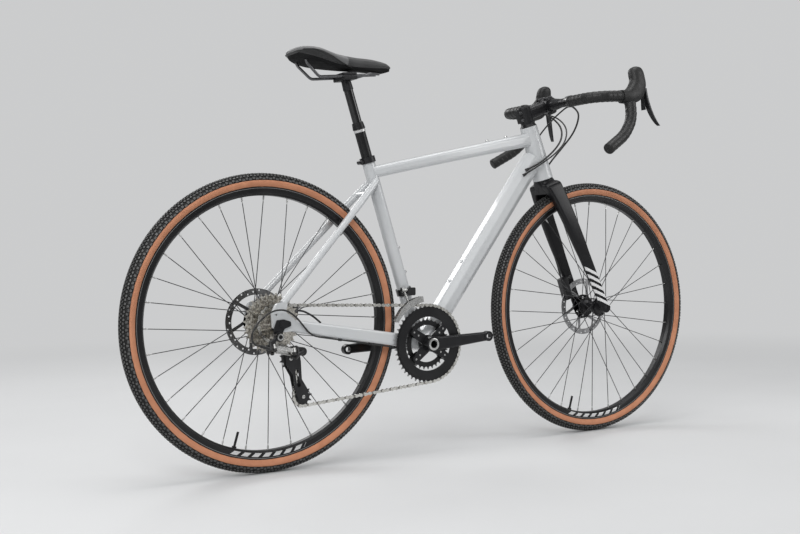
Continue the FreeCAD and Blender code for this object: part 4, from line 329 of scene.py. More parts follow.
# %% Fork paint
fork_paint = drifting("fork_paint", (0.004, 0.004, 0.005), (0.008, 0.008, 0.009), (0.24, 0.34), coat=0.35,
                      coat_roughness=0.30, scale=6.0, grain=0.05, grain_scale=240.0, depth=0.0003,
                      specular=0.1)


def along_axis(finish, origin, direction):
    """How far each point is from an origin, along a direction."""
    offset = linked(finish.tree, "ShaderNodeVectorMath", {"operation": "SUBTRACT"}, i0=finish.place,
                    i1=tuple(origin))
    dot = linked(finish.tree, "ShaderNodeVectorMath", {"operation": "DOT_PRODUCT"}, i0=offset.outputs[0],
                 i1=tuple(direction))
    return dot.outputs["Value"]


leg_height = along_axis(fork_paint, steer_foot, steer_direction)
leg_ahead = along_axis(fork_paint, steer_foot, steer_forward)
leg_bars = fork_paint.group(BARS, Along=leg_height, Across=leg_ahead, Start=0.052, End=0.150, Low=-0.02,
                            High=0.08, Pitch=0.0205, Fill=0.52, Slant=0.9)
leg_middle_y = 0.0555
from_middle = calc(fork_paint.tree, "ABSOLUTE", fork_paint.axis("Y"))
outside = calc(fork_paint.tree, "GREATER_THAN", from_middle, leg_middle_y)
fork_paint.tint((0.70, 0.70, 0.70), calc(fork_paint.tree, "MULTIPLY", leg_bars["Mask"], outside))
dress(fork_paint, "fork")

# %% [markdown]
# Most fittings are aluminium with a black anodised skin: dark, a little metallic, and satin. Forged and
# machined pieces differ mostly in gloss, so they share one recipe with other values.

# %% Black fittings
black_alloy = drifting("black_alloy", (0.010, 0.010, 0.011), (0.019, 0.019, 0.021), (0.32, 0.44),
                       metallic=0.4, grain=0.12, grain_scale=2600.0)
dress(black_alloy, "front_hub", "rear_hub", "derailleur_hanger", "seat_clamp", "saddle_clamp", "stem",
      "stem_faceplate", "handlebar", "headset_spacers", "front_axle", "rear_axle", "lever_block_right",
      "lever_block_left")
crank_black = drifting("crank_black", (0.011, 0.011, 0.012), (0.024, 0.024, 0.026), (0.26, 0.36),
                       metallic=0.55, grain=0.10, grain_scale=1800.0)
dress(crank_black, "crank_right", "crank_left", "bottom_bracket")
caliper_black = drifting("caliper_black", (0.008, 0.008, 0.009), (0.016, 0.016, 0.017), (0.28, 0.40),
                         metallic=0.3, coat=0.3, grain=0.15, grain_scale=1600.0)
dress(caliper_black, "front_caliper", "rear_caliper", "rd_body", "rd_knuckle", "fd_body")
cage_dark = drifting("cage_dark", (0.022, 0.022, 0.023), (0.040, 0.040, 0.042), (0.34, 0.46), metallic=0.7,
                     grain=0.10, grain_scale=2200.0)
dress(cage_dark, "rd_cage")
lever_satin = drifting("lever_satin", (0.016, 0.017, 0.018), (0.030, 0.031, 0.033), (0.30, 0.42),
                       metallic=0.5, grain=0.08, grain_scale=2400.0)
dress(lever_satin, "brake_lever_right", "brake_lever_left", "shift_paddle_right", "shift_paddle_left")

# %% [markdown]
# Chainrings are turned and then anodised, and the chain has polished the tips of their teeth. The lathe
# rings set the gloss, and the distance from the spindle says where the bare metal starts.

# %% Chainrings
def ring_finish(name, tip):
    """Black ring, rubbed bare toward the radius of its teeth's tips."""
    finish = drifting(name, (0.010, 0.010, 0.011), (0.020, 0.020, 0.021), (0.34, 0.44), metallic=0.5,
                      grain=0.08, grain_scale=2400.0)
    rings = finish.group(LATHE, Centre=tuple(crank_centre), Scale=2600.0, Low=0.28, High=0.46)
    finish.feed("Roughness", rings["Value"])
    wear_start, wear_end, wear = tip - 0.0055, tip - 0.0025, 0.75
    finish.tint((0.30, 0.30, 0.30), ramp(finish.tree, rings["Radius"], wear_start, wear_end, 0.0, wear))
    return finish


dress(ring_finish("outer_ring_black", 0.0995), "chainring_outer")
dress(ring_finish("inner_ring_black", 0.0650), "chainring_inner")

# %% [markdown]
# Sprockets, brake discs and rails are steel. Turned parts catch the light in rings, so their gloss changes
# with the distance from the axle. Shade is painted between the sprockets and inside the chain: both are
# darkened by how far across the bike a point is.

# %% Steel
def turned_steel(name, axle, dark, light, hub_radius, hub_colour, rings=2200.0, rough=(0.20, 0.40),
                 drift=30.0):
    """Steel turned about an axle, with another colour inside the hub's radius."""
    finish = drifting(name, dark, light, rough, metallic=1.0, scale=drift, grain=0.10, grain_scale=3000.0)
    turned = finish.group(LATHE, Centre=tuple(axle), Scale=rings, Low=rough[0], High=rough[1])
    finish.feed("Roughness", turned["Value"])
    soft_edge = 0.0008
    finish.tint(hub_colour, ramp(finish.tree, turned["Radius"], hub_radius + soft_edge, hub_radius))
    return finish


cassette_steel = turned_steel("cassette_steel", rear_axle, (0.20, 0.185, 0.16), (0.95, 0.91, 0.83), 0.016,
                              (0.03, 0.03, 0.03), drift=170.0)
# Inner face of the first sprocket, distance to the next, and the plate's share of that distance
sprocket_y, sprocket_pitch, plate_share = -0.02780, 0.00374, 0.54
past_first = calc(cassette_steel.tree, "SUBTRACT", sprocket_y, cassette_steel.axis("Y"))
step = calc(cassette_steel.tree, "FRACT", calc(cassette_steel.tree, "DIVIDE", past_first, sprocket_pitch))
# Painted shade: the gaps between the sprocket plates are painted almost black.
gap_shade = ramp(cassette_steel.tree, step, plate_share, plate_share + 0.04)
cassette_steel.tint((0.035, 0.032, 0.028), gap_shade)
dress(cassette_steel, "cassette")

rotor_hub = 0.0345
# Both discs are one steel: the front one is painted 1.7 times lighter as lit, the rear one darker as in
# shade.
for name, axle, tone in (("front_rotor", front_axle, 1.7), ("rear_rotor", rear_axle, 1.0)):
    dark, light = ([v * tone for v in colour] for colour in ((0.17, 0.17, 0.173), (0.28, 0.28, 0.284)))
    dress(turned_steel(name + "_steel", axle, dark, light, rotor_hub, (0.02, 0.02, 0.022), 3000.0,
                       (0.26, 0.42)), name)

chain_steel = drifting("chain_steel", (0.50, 0.49, 0.46), (0.78, 0.77, 0.73), (0.20, 0.32), metallic=1.0,
                       scale=90.0, grain=0.12, grain_scale=2800.0)
chain_y, roller_half, plate_half, soft_edge = -0.0475, 0.00112, 0.00187, 0.0001
across = calc(chain_steel.tree, "SUBTRACT", chain_steel.axis("Y"), chain_y)
off_middle = calc(chain_steel.tree, "ABSOLUTE", across)
# Painted shade inside the chain: the inner plates are painted darker and the rollers between them almost
# black.
for colour, half in (((0.30, 0.29, 0.27), plate_half), ((0.020, 0.019, 0.017), roller_half)):
    chain_steel.tint(colour, ramp(chain_steel.tree, off_middle, half + soft_edge, half))
dress(chain_steel, "chain")
bright_steel = drifting("bright_steel", (0.44, 0.44, 0.43), (0.60, 0.60, 0.59), (0.22, 0.34), metallic=1.0,
                        scale=60.0, grain=0.10, grain_scale=3000.0)
dress(bright_steel, "headset_bearings", "chainring_bolts", "frame_bolts", "fd_cage", "rd_outer_link",
      "rd_inner_link")
rail_steel = drifting("rail_steel", (0.10, 0.10, 0.105), (0.17, 0.17, 0.175), (0.28, 0.40), metallic=1.0,
                      scale=40.0, grain=0.08, grain_scale=2600.0)
dress(rail_steel, "saddle_rails", "stem_bolts")

# %% [markdown]
# The rims are black anodised, with a painted highlight line round the outer lip. Near the ground each
# carries a row of small pale bars, drawn by the angle round the axle. Spokes are dark steel and end in
# bright nipples, so the distance from the axle parts the two.

# %% Rims and spokes
def band(tree, value, low, high, soft=0.0003):
    """1 where a value lies between two limits, with soft edges."""
    return calc(tree, "MULTIPLY", ramp(tree, value, low - soft, low), ramp(tree, value, high + soft, high))


def rim_finish(name, axle):
    finish = drifting(name, (0.009, 0.009, 0.010), (0.017, 0.017, 0.018), (0.26, 0.36), metallic=0.45,
                      grain=0.08, grain_scale=2400.0)
    rings = finish.group(LATHE, Centre=tuple(axle), Scale=1800.0, Low=0.24, High=0.38)
    finish.feed("Roughness", rings["Value"])
    rim_middle, lip_low, lip_high = 0.308, 0.3156, 0.3163
    from_ground = calc(finish.tree, "ADD", rings["Angle"], math.pi / 2)
    arc = calc(finish.tree, "MULTIPLY", from_ground, rim_middle)
    bars = finish.group(BARS, Along=arc, Across=rings["Radius"], Start=0.21, End=0.40, Low=0.3035,
                        High=0.3125, Pitch=0.027, Fill=0.62, Slant=1.0)
    # Painted highlight: a pale line round the outer lip.
    finish.tint((0.26, 0.26, 0.26), band(finish.tree, rings["Radius"], lip_low, lip_high))
    finish.tint((0.62, 0.62, 0.62), bars["Mask"])
    return finish


def spoke_finish(name, axle):
    finish = drifting(name, (0.045, 0.045, 0.047), (0.085, 0.085, 0.088), (0.26, 0.36), metallic=0.9,
                      scale=40.0, grain=0.06, grain_scale=2600.0)
    rings = finish.group(LATHE, Centre=tuple(axle))
    nipple_start, nipple_full = 0.2845, 0.2855
    finish.tint((0.46, 0.46, 0.455), ramp(finish.tree, rings["Radius"], nipple_start, nipple_full))
    return finish


for end, axle in (("front", front_axle), ("rear", rear_axle)):
    dress(rim_finish(end + "_rim_black", axle), end + "_rim")
    dress(spoke_finish(end + "_spoke_steel", axle), end + "_spokes")

# %% [markdown]
# Rubber and plastics: the hoods have a fine pebble, the cables a smooth jacket, the jockey wheels and the
# saddle's base are moulded. The dropper post's moving tube is polished hard black, and a pale ring closes
# the sleeve that it slides in.

# %% Rubber, plastics and the dropper post
hood_rubber = drifting("hood_rubber", (0.010, 0.010, 0.010), (0.018, 0.018, 0.018), (0.40, 0.54),
                       scale=30.0, grain=0.18, grain_scale=1100.0, cells=1.0, depth=0.0002, specular=0.35)
dress(hood_rubber, "lever_hoods", "cable_ports")
jacket_black = drifting("jacket_black", (0.010, 0.010, 0.010), (0.018, 0.018, 0.018), (0.34, 0.46),
                        scale=40.0, grain=0.06, grain_scale=1500.0)
dress(jacket_black, "bar_cables", "frame_cables", "front_brake_hose")
pulley_resin = drifting("pulley_resin", (0.016, 0.016, 0.017), (0.030, 0.030, 0.031), (0.44, 0.58),
                        scale=60.0, grain=0.2, grain_scale=1500.0)
dress(pulley_resin, "guide_pulley", "tension_pulley")
shell_black = drifting("shell_black", (0.007, 0.007, 0.0075), (0.013, 0.013, 0.0135), (0.72, 0.88),
                       scale=30.0, grain=0.25, grain_scale=1300.0, specular=0.12)
dress(shell_black, "saddle_shell")
post_black = drifting("post_black", (0.006, 0.006, 0.007), (0.012, 0.012, 0.013), (0.14, 0.22),
                      metallic=0.6, coat=0.6, grain=0.04, grain_scale=2600.0)
dress(post_black, "dropper_stanchion")
sleeve_black = drifting("sleeve_black", (0.010, 0.010, 0.011), (0.018, 0.018, 0.019), (0.30, 0.42),
                        metallic=0.5, grain=0.10, grain_scale=2400.0)
seat_direction = (-0.2924, 0.0, 0.9563)
sleeve_height = along_axis(sleeve_black, crank_centre, seat_direction)
ring_foot, ring_top = 0.5550, 0.5612
sleeve_black.tint((0.58, 0.58, 0.58), band(sleeve_black.tree, sleeve_height, ring_foot, ring_top))
dress(sleeve_black, "dropper_outer")

# %% [markdown]
# Most pieces below are skins: rings of points, one behind the other, with quads between them.
# One helper turns such rings into a mesh that rides on a body of the bike, so that each cell only
# has to say where its rings are.

# %% Skins from rings of points
def shade_smooth(mesh):
    mesh.polygons.foreach_set("use_smooth", [True] * len(mesh.polygons))


def piece(name, points, faces, finish, body):
    """Mesh piece with its normals turned outward; it rides on a body, or waits for one."""
    mesh = bpy.data.meshes.new(name)
    mesh.from_pydata([tuple(p) for p in points], [], faces)
    mesh.validate()
    made = bmesh.new()
    made.from_mesh(mesh)
    bmesh.ops.recalc_face_normals(made, faces=made.faces)
    made.to_mesh(mesh)
    made.free()
    shade_smooth(mesh)
    mesh.materials.append(finish.material)
    made_object = placed(name, mesh)
    if body:
        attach(made_object, body)
    return made_object


def circle(centre, side, other, radii):
    """Ring of points in the plane of two directions, one point for each radius."""
    ring = []
    for k, radius in enumerate(radii):
        turn = 2 * math.pi * k / len(radii)
        ring.append(centre + (side * math.cos(turn) + other * math.sin(turn)) * radius)
    return ring


def ring_faces(rings, count, loop=False):
    """Quads between rings of count points; loop joins the last ring to the first, otherwise both are
    closed by a cap."""
    faces = []
    for ring in range(rings if loop else rings - 1):
        after = (ring + 1) % rings
        for i in range(count):
            j = (i + 1) % count
            faces.append((ring * count + i, ring * count + j, after * count + j, after * count + i))
    if not loop:
        faces.append(tuple(reversed(range(count))))
        faces.append(tuple(range((rings - 1) * count, rings * count)))
    return faces


def keep_creases(made_object, angle=40.0):
    """Smooth shading that stops at edges sharper than the angle."""
    mesh = made_object.data
    made = bmesh.new()
    made.from_mesh(mesh)
    limit = math.radians(angle)
    for edge in made.edges:
        edge.smooth = len(edge.link_faces) == 2 and edge.calc_face_angle(0.0) < limit
    made.to_mesh(mesh)
    made.free()


# %% [markdown]
# The tyre is a round casing with some two thousand rubber knobs. Bump alone would leave its outline
# smooth, and the knobs show against the floor, so each knob is a small tapered block. The solid tyre
# has the knobs' outer size, so the casing here is lower by a knob's height.

# %% Tyres
crown_round = 0.02061
crown_centre = tyre_radius - crown_round
knob_height = 0.0028
casing_round = crown_round - knob_height
tread_pitches = 124
# Rows of knobs: place across the crown in degrees, place along the pitch, half length, half width
tread_rows = ((72, 0.00, 4.4, 2.6), (65, 0.50, 3.4, 3.2), (45, 0.22, 3.0, 2.4), (42, 0.72, 3.0, 2.4),
              (24, 0.00, 2.7, 1.9), (24, 0.50, 2.7, 1.9), (8, 0.25, 2.8, 1.7), (8, 0.75, 2.8, 1.7))


def wheel_point(axle, turn, radius, y):
    return axle + Vector((radius * math.cos(turn), y, radius * math.sin(turn)))


def casing_profile():
    """Radius and side place of points round the casing, from one bead over the crown to the other."""
    wall = [(0.3120, 0.0112), (0.3182, 0.0118), (0.3190, 0.0134), (0.3220, 0.0163), (0.3260, 0.0184),
            (0.3300, 0.0193), (0.3335, 0.0192)]
    crown = []
    for degrees in range(75, -76, -10):
        lean = math.radians(degrees)
        crown.append((crown_centre + casing_round * math.cos(lean), casing_round * math.sin(lean)))
    lining = [(0.3335, -0.0168), (0.3345, 0.0), (0.3335, 0.0168)]
    return wall + crown + [(r, -y) for r, y in reversed(wall)] + lining


def knob(axle, turn, lean, half_length, half_width):
    """Eight corners of one tapered block that stands on the casing."""
    outward = Vector((math.cos(turn) * math.cos(lean), math.sin(lean), math.sin(turn) * math.cos(lean)))
    along = Vector((-math.sin(turn), 0, math.cos(turn)))
    sideways = outward.cross(along)
    middle = wheel_point(axle, turn, crown_centre, 0)
    corners = []
    sink, margin, taper = 0.0006, 0.0001, 0.8
    for height, share in ((casing_round - sink, 1.0), (crown_round - margin, taper)):
        for a, b in ((-1, -1), (1, -1), (1, 1), (-1, 1)):
            corners.append(middle + outward * height + along * (a * half_length * share)
                           + sideways * (b * half_width * share))
    return corners


block_faces = ((3, 2, 1, 0), (4, 5, 6, 7), (0, 1, 5, 4), (1, 2, 6, 5), (2, 3, 7, 6), (3, 0, 4, 7))


def build_tyre(name, axle, body, finish):
    profile = casing_profile()
    steps = 216
    points = [wheel_point(axle, 2 * math.pi * i / steps, r, y) for i in range(steps) for r, y in profile]
    faces = ring_faces(steps, len(profile), loop=True)
    for pitch in range(tread_pitches):
        for degrees, phase, half_length, half_width in tread_rows:
            for side in (1, -1):
                turn = 2 * math.pi * (pitch + phase + (0.5 if side < 0 else 0.0)) / tread_pitches
                lean = math.radians(side * degrees)
                first = len(points)
                points += knob(axle, turn, lean, half_length / 1000, half_width / 1000)
                faces += [tuple(first + i for i in face) for face in block_faces]
    made = piece(name, points, faces, finish, body)
    keep_creases(made)
    return made


def tyre_finish(name, axle):
    """Black tread above a tan wall with woven threads; the edge between them wavers a little. Knob tops are
    painted lighter.
    """
    finish = Finish(name, (0.02, 0.02, 0.02), 0.8)
    tree = finish.tree
    rings = finish.group(LATHE, Centre=tuple(axle), Scale=900.0, Low=0.0, High=1.0)
    waver = finish.group(MOTTLE, Scale=60.0, Low=-0.0004, High=0.0004)
    edge = calc(tree, "ADD", rings["Radius"], waver["Value"])
    wall_foot, wall_top = 0.3196, 0.3338
    tread = ramp(tree, edge, wall_top, wall_top + 0.0006)
    hem = ramp(tree, edge, wall_foot, wall_foot - 0.0004)
    dark = calc(tree, "MAXIMUM", tread, hem)
    wear = finish.group(MOTTLE, Scale=35.0)["Value"]
    wall = finish.mix((0.50, 0.205, 0.105), (0.60, 0.26, 0.14), wear)
    threads = finish.group(THREADS, Centre=tuple(axle), Spacing=0.0013)
    woven = finish.mix(wall, threads["Shade"], 0.35, "MULTIPLY")
    above = calc(tree, "SUBTRACT", rings["Radius"], crown_centre)
    aside = finish.axis("Y")
    squares = calc(tree, "ADD", calc(tree, "MULTIPLY", above, above), calc(tree, "MULTIPLY", aside, aside))
    # Painted highlight on the knob tops, painted shade below them: the tops are lighter by their distance
    # from the crown's centre; their tone also varies at random.
    top = ramp(tree, calc(tree, "SQRT", squares), casing_round + 0.0010, crown_round - 0.0004)
    worn_and_lit_tops = finish.mix((0.050, 0.050, 0.050), (0.085, 0.085, 0.083), wear)
    rubber = finish.mix((0.005, 0.005, 0.005), worn_and_lit_tops, top)
    finish.feed("Base Color", finish.mix(woven, rubber, dark))
    gloss = finish.group(MOTTLE, Scale=110.0, Low=0.62, High=0.80)["Value"]
    finish.feed("Roughness", calc(tree, "SUBTRACT", gloss, calc(tree, "MULTIPLY", top, 0.28)))
    finish.feed("Normal", finish.group(GRAIN, Scale=1400.0, Strength=0.08)["Normal"])
    return finish


for name, axle, body in (("rear_tread", rear_axle, "rear_wheel"),
                         ("front_tread", front_axle, "front_wheel")):
    made = build_tyre(name, axle, body, tyre_finish(name.replace("_", " "), axle))
    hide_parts(name.replace("tread", "tyre"))
    print(name, len(made.data.vertices), "points,", tread_pitches * 2 * len(tread_rows), "knobs")

# %% [markdown]
# Bar tape is a ribbon wound round the bar, each turn half over the last. The real look comes from the
# steps between the turns, so the tube's radius climbs along the bar and round it together, then drops
# by the ribbon's thickness: a helix of small steps, with no need to model the ribbon itself.

# %% Handlebar tape
# Corners of the bar's right half, from its middle, in mm
bar_offsets = ((0, -88, 0), (0, -195, 0), (113, -207, 8), (109, -218, -56), (70, -231, -101),
               (-1, -247, -141))
upper_bends, drop_bends = (0.048,), (0.078, 0.150)
hood_gap = 0.018
tape_low, tape_high, tape_pitch = 0.0143, 0.0152, 0.0150


def mirrored(points):
    return [Vector((p.x, -p.y, p.z)) for p in points]


def bent_line(points, radii, step=0.001, arc_steps=24):
    """Even points along straight runs that are joined by arcs, as a tube bender makes them."""
    dense = [points[0]]
    for i, radius in enumerate(radii, 1):
        before = (points[i - 1] - points[i]).normalized()
        after = (points[i + 1] - points[i]).normalized()
        half = before.angle(after) / 2
        inward = (before + after).normalized()
        centre = points[i] + inward * (radius / math.sin(half))
        first = points[i] + before * (radius / math.tan(half)) - centre
        last = points[i] + after * (radius / math.tan(half)) - centre
        first, last = first.normalized(), last.normalized()
        arc = [first.slerp(last, k / arc_steps) for k in range(arc_steps + 1)]
        dense += [centre + way * radius for way in arc]
    dense.append(points[-1])
    places = np.array(dense)
    distance = np.concatenate([[0], np.cumsum(np.linalg.norm(np.diff(places, axis=0), axis=1))])
    even = np.linspace(0, distance[-1], max(2, round(distance[-1] / step)))
    return [Vector(p) for p in np.stack([np.interp(even, distance, places[:, k]) for k in range(3)], 1)]


def ring_frames(line, first=Vector((0, 0, 1))):
    """Two directions square to the line at each of its points, carried along without twist."""
    frames = []
    side = first
    for i, point in enumerate(line):
        way = (line[min(i + 1, len(line) - 1)] - line[max(i - 1, 0)]).normalized()
        side = (side - way * side.dot(way)).normalized()
        frames.append((point, side, way.cross(side)))
    return frames


def wound_tube(name, line, finish, count=48, rise=0.18, end_run=0.004, end_drop=0.0006):
    """Tube wound with ribbon: the radius steps along a helix, and thins at both ends."""
    points = []
    length = 0.0
    total = sum((b - a).length for a, b in zip(line, line[1:]))
    for i, (point, side, up_side) in enumerate(ring_frames(line)):
        length += (point - line[i - 1]).length if i else 0.0
        ease = min(1.0, length / end_run, (total - length) / end_run)
        radii = []
        for k in range(count):
            share = (length / tape_pitch - k / count) % 1.0
            lift = (1.0 - share) / (1.0 - rise) if share > rise else share / rise
            radii.append(tape_low + (tape_high - tape_low) * lift - end_drop * (1.0 - ease))
        points += circle(point, side, up_side, radii)
    return piece(name, points, ring_faces(len(line), count), finish, "steering")


tape_black = drifting("tape_black", (0.010, 0.010, 0.010), (0.020, 0.020, 0.020), (0.36, 0.50), scale=45.0,
                      grain=0.10, grain_scale=1500.0, cells=1.0, depth=0.0001, specular=0.35)
right_bar = [bar_centre + Vector(offset) / 1000 for offset in bar_offsets]


def wrap_side(side, points):
    """Tape above and below the lever hood, which covers the bend between them."""
    to_hood = (points[1] - points[2]).normalized() * hood_gap
    from_hood = (points[3] - points[2]).normalized() * hood_gap
    upper = bent_line([points[0], points[1], points[2] + to_hood], upper_bends)
    lower = bent_line([points[2] + from_hood] + points[3:], drop_bends)
    made = [wound_tube("tape_upper_" + side, upper, tape_black),
            wound_tube("tape_drop_" + side, lower, tape_black)]
    print(side, "tape:", [len(m.data.vertices) for m in made])
    return made


right_tape = wrap_side("right", right_bar)
wrap_side("left", mirrored(right_bar))
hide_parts("bar_tape")

# %% [markdown]
# A gloss strip closes the tape beside the stem, and a domed plug closes each end of the bar. Both are
# turned shapes about the bar's line, so one helper spins a short profile about any axis.

# %% Tape ends
def turned_piece(name, base, way, profile, finish, body, count=48, closed=False):
    """Skin of revolution: profile gives distance along the axis and radius, in metres."""
    way = way.normalized()
    side = way.orthogonal().normalized()
    other = way.cross(side)
    points = []
    for along, radius in profile:
        points += circle(base + way * along, side, other, [radius] * count)
    made = piece(name, points, ring_faces(len(profile), count, closed), finish, body)
    keep_creases(made, 50.0)
    return made


strip_black = drifting("strip_black", (0.008, 0.008, 0.008), (0.014, 0.014, 0.014), (0.22, 0.32), coat=0.4,
                       scale=60.0, grain=0.12, grain_scale=700.0)
strip_profile = ((0.0, 0.0122), (0.0, 0.0148), (0.0006, 0.0154), (0.0075, 0.01575), (0.0079, 0.01600),
                 (0.0164, 0.01600), (0.0170, 0.0154), (0.0170, 0.0140))
plug_profile = ((-0.0060, 0.0115), (-0.0060, 0.0146), (-0.0010, 0.0151), (0.0010, 0.0149), (0.0016, 0.0140),
                (0.0022, 0.0138), (0.0034, 0.0115), (0.0040, 0.0070), (0.0041, 0.0008))
for side, points in (("right", right_bar), ("left", mirrored(right_bar))):
    turned_piece("tape_strip_" + side, points[0], points[1] - points[0], strip_profile, strip_black,
                 "steering")
    turned_piece("bar_plug_" + side, points[5], points[5] - points[4], plug_profile, hood_rubber,
                 "steering")
print("strips and plugs made")

# %% [markdown]
# Hoses and cables are smooth: each follows a NURBS spline through its route's control points, with a round
# bevel. Those that run from the frame to the bar are baked in place and ride on no body.

# %% Cables
def mesh_as_shown(made):
    """Mesh of an object as it stands, with its bevel or its modifiers carried out."""
    bpy.context.view_layer.update()
    return bpy.data.meshes.new_from_object(made.evaluated_get(bpy.context.evaluated_depsgraph_get()))


def cable_mesh(name, radius, route, body=None):
    """Tube along a smooth spline, from a radius and a route in mm; both its ends go into the bike."""
    curve = bpy.data.curves.new(name + "_line", "CURVE")
    curve.dimensions = "3D"
    spline = curve.splines.new("NURBS")
    spline.points.add(len(route) - 1)
    for point, place in zip(spline.points, route):
        point.co = (*(v / 1000 for v in place), 1.0)
    spline.order_u = 3
    spline.use_endpoint_u = True
    spline.resolution_u = 10
    line = placed(name + "_line", curve)
    middle = mesh_as_shown(line)
    bpy.data.meshes.remove(middle)
    curve.bevel_depth = radius / 1000
    curve.bevel_resolution = 5
    curve.use_fill_caps = True
    mesh = mesh_as_shown(line)
    bpy.data.objects.remove(line)
    mesh.name = name
    mesh.materials.clear()
    mesh.materials.append(jacket_black.material)
    shade_smooth(mesh)
    made = placed(name, mesh)
    if body:
        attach(made, body)
    return made


frame_to_bar = (
    ("rear_hose", 2.5, ((265, -26.8, 735.5), (286, -31, 745), (314, -36, 762), (352, -35, 790),
                        (388, -22, 822), (408, 2, 858), (402, 30, 886), (382, 52, 902), (367.5, 70, 908.3),
                        (366.6, 87.6, 909.2))),
    ("front_shift_cable", 2.1, ((255.5, -26.8, 722), (278, -31.5, 735), (308, -37, 753), (352, -38.5, 780),
                                (398, -26, 815), (425, -2, 857), (420, 31, 889), (394, 57, 900),
                                (371, 72, 900), (363.3, 87.6, 903.9))),
    ("rear_shift_cable", 2.1, ((265, 26.8, 735.5), (287, 33, 750), (312, 37, 773), (332, 36, 803),
                               (345, 24, 834), (354, 0, 860), (361, -28, 882), (364, -52, 895),
                               (363.8, -70, 902.5), (363.3, -87.6, 903.9))),
    ("post_cable", 2.1, ((255.5, 26.8, 722), (281, 33, 741), (311, 40, 766), (336, 46, 799), (350, 53, 835),
                         (357, 61, 866), (358.5, 71, 889), (357.5, 87.6, 900.4))))
for name, radius, route in frame_to_bar:
    made = cable_mesh(name, radius, route)
    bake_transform(made)
front_hose = cable_mesh("front_hose", 2.5, (
    (362, 49.9, 672), (366, 50.4, 694), (373, 47, 722), (389, 38, 757), (420, 21, 798), (449, -4, 845),
    (443, -34, 888), (410, -56, 903), (376, -70, 909), (367, -87.6, 910.4)), "steering")
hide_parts("bar_cables")

# %% Cables on the frame and fork
derailleur_loop = cable_mesh("derailleur_loop", 2.1, (
    (-144, -27.5, 272.2), (-185, -35, 279.3), (-249, -45, 290.4), (-313, -54, 301.4), (-376, -62.5, 312),
    (-427, -77, 321), (-448, -81, 342), (-473, -89, 368), (-502, -94, 386), (-534, -96, 385),
    (-560, -96, 370), (-579, -96, 351), (-588, -95.5, 332), (-586, -95, 316), (-577, -94.3, 308),
    (-566.6, -94, 306.4)), "frame")
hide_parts("frame_cables")
cable_mesh("rear_caliper_hose", 2.5, ((-399.9, 63, 373.8), (-383.6, 63, 374.1), (-364.7, 63, 365.9),
                                      (-348.2, 59, 355.1), (-333, 57.2, 341)), "frame")
fork_hose = cable_mesh("fork_hose", 2.5, ((432.5, 41, 434.7), (425.7, 41, 451.4), (422, 43, 471.3),
                                          (418.7, 47, 487)), "steering")
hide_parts("front_brake_hose")

# %% [markdown]
# The saddle is foam under a bonded cover. Its form follows the solid's stations, with a smooth line
# between them, and its top is parted from its flanks by a sewn seam. The seam and the lower hem are
# pinned, and a short cloth simulation with a little air pressure swells the panels between them.

# %% Saddle cover
saddle_tail, saddle_length, saddle_half, saddle_base = -0.43199, 0.275, 0.072, 0.91412
# Columns: share of the length, share of the half width, height of the crown and of the hem in mm
saddle_stations = np.array(((0.00, 0.42, 87, 78), (0.05, 0.78, 92, 70), (0.16, 1.00, 93, 62),
                            (0.28, 0.88, 88, 57), (0.42, 0.60, 83, 54), (0.58, 0.38, 81, 53),
                            (0.78, 0.28, 80, 55), (0.94, 0.20, 74, 59), (1.00, 0.10, 66, 60)), float)
# Half section: share of the half width, share of the depth below the crown
saddle_section = np.array(((0.00, 0.03), (0.12, 0.0), (0.30, 0.02), (0.48, 0.06), (0.64, 0.13),
                           (0.78, 0.22), (0.89, 0.32), (0.955, 0.41), (0.985, 0.50), (0.955, 0.62),
                           (0.89, 0.76), (0.80, 0.90), (0.72, 1.0)))
seam_row = 8
channel_depth, channel_half = 0.0035, 0.009
# Front edge of the rear panel, which is painted paler as lit from above, and its lower edge as x and z at
# both ends
panel_front = -0.291
panel_line = ((-0.4060, saddle_base + 0.0800), (-0.2860, saddle_base + 0.0536))


def smooth_table(table, places):
    """Catmull-Rom curve through a table's rows, read at places along its first column."""
    rows = []
    keys = table[:, 0]
    for place in places:
        i = int(min(max(np.searchsorted(keys, place, side="right") - 1, 0), len(keys) - 2))
        span = keys[i + 1] - keys[i]
        t = (place - keys[i]) / span
        slopes = []
        for j in (i, i + 1):
            a, b = max(j - 1, 0), min(j + 1, len(keys) - 1)
            slopes.append((table[b] - table[a]) / (keys[b] - keys[a]) * span)
        rows.append((2 * t ** 3 - 3 * t ** 2 + 1) * table[i] + (t ** 3 - 2 * t ** 2 + t) * slopes[0]
                    + (3 * t ** 2 - 2 * t ** 3) * table[i + 1] + (t ** 3 - t ** 2) * slopes[1])
    return np.array(rows)


def saddle_rings(shares):
    """Rings round the saddle, each from the right hem over the top to the left hem."""
    rings = []
    for share, width, crown, edge in smooth_table(saddle_stations, shares):
        x = saddle_tail + saddle_length * share
        half = saddle_half * width
        top, depth = saddle_base + crown / 1000, (crown - edge) / 1000
        channel = channel_depth * max(0.0, min((share - 0.12) / 0.15, (0.80 - share) / 0.2, 1.0))
        ring = []
        for side in (-1, 1):
            for across_share, down in saddle_section[::-1] if side < 0 else saddle_section[1:]:
                dip = channel * math.exp(-(half * across_share / channel_half) ** 2)
                ring.append(Vector((x, side * half * across_share, top - depth * down - dip)))
        rings.append(ring)
    return rings


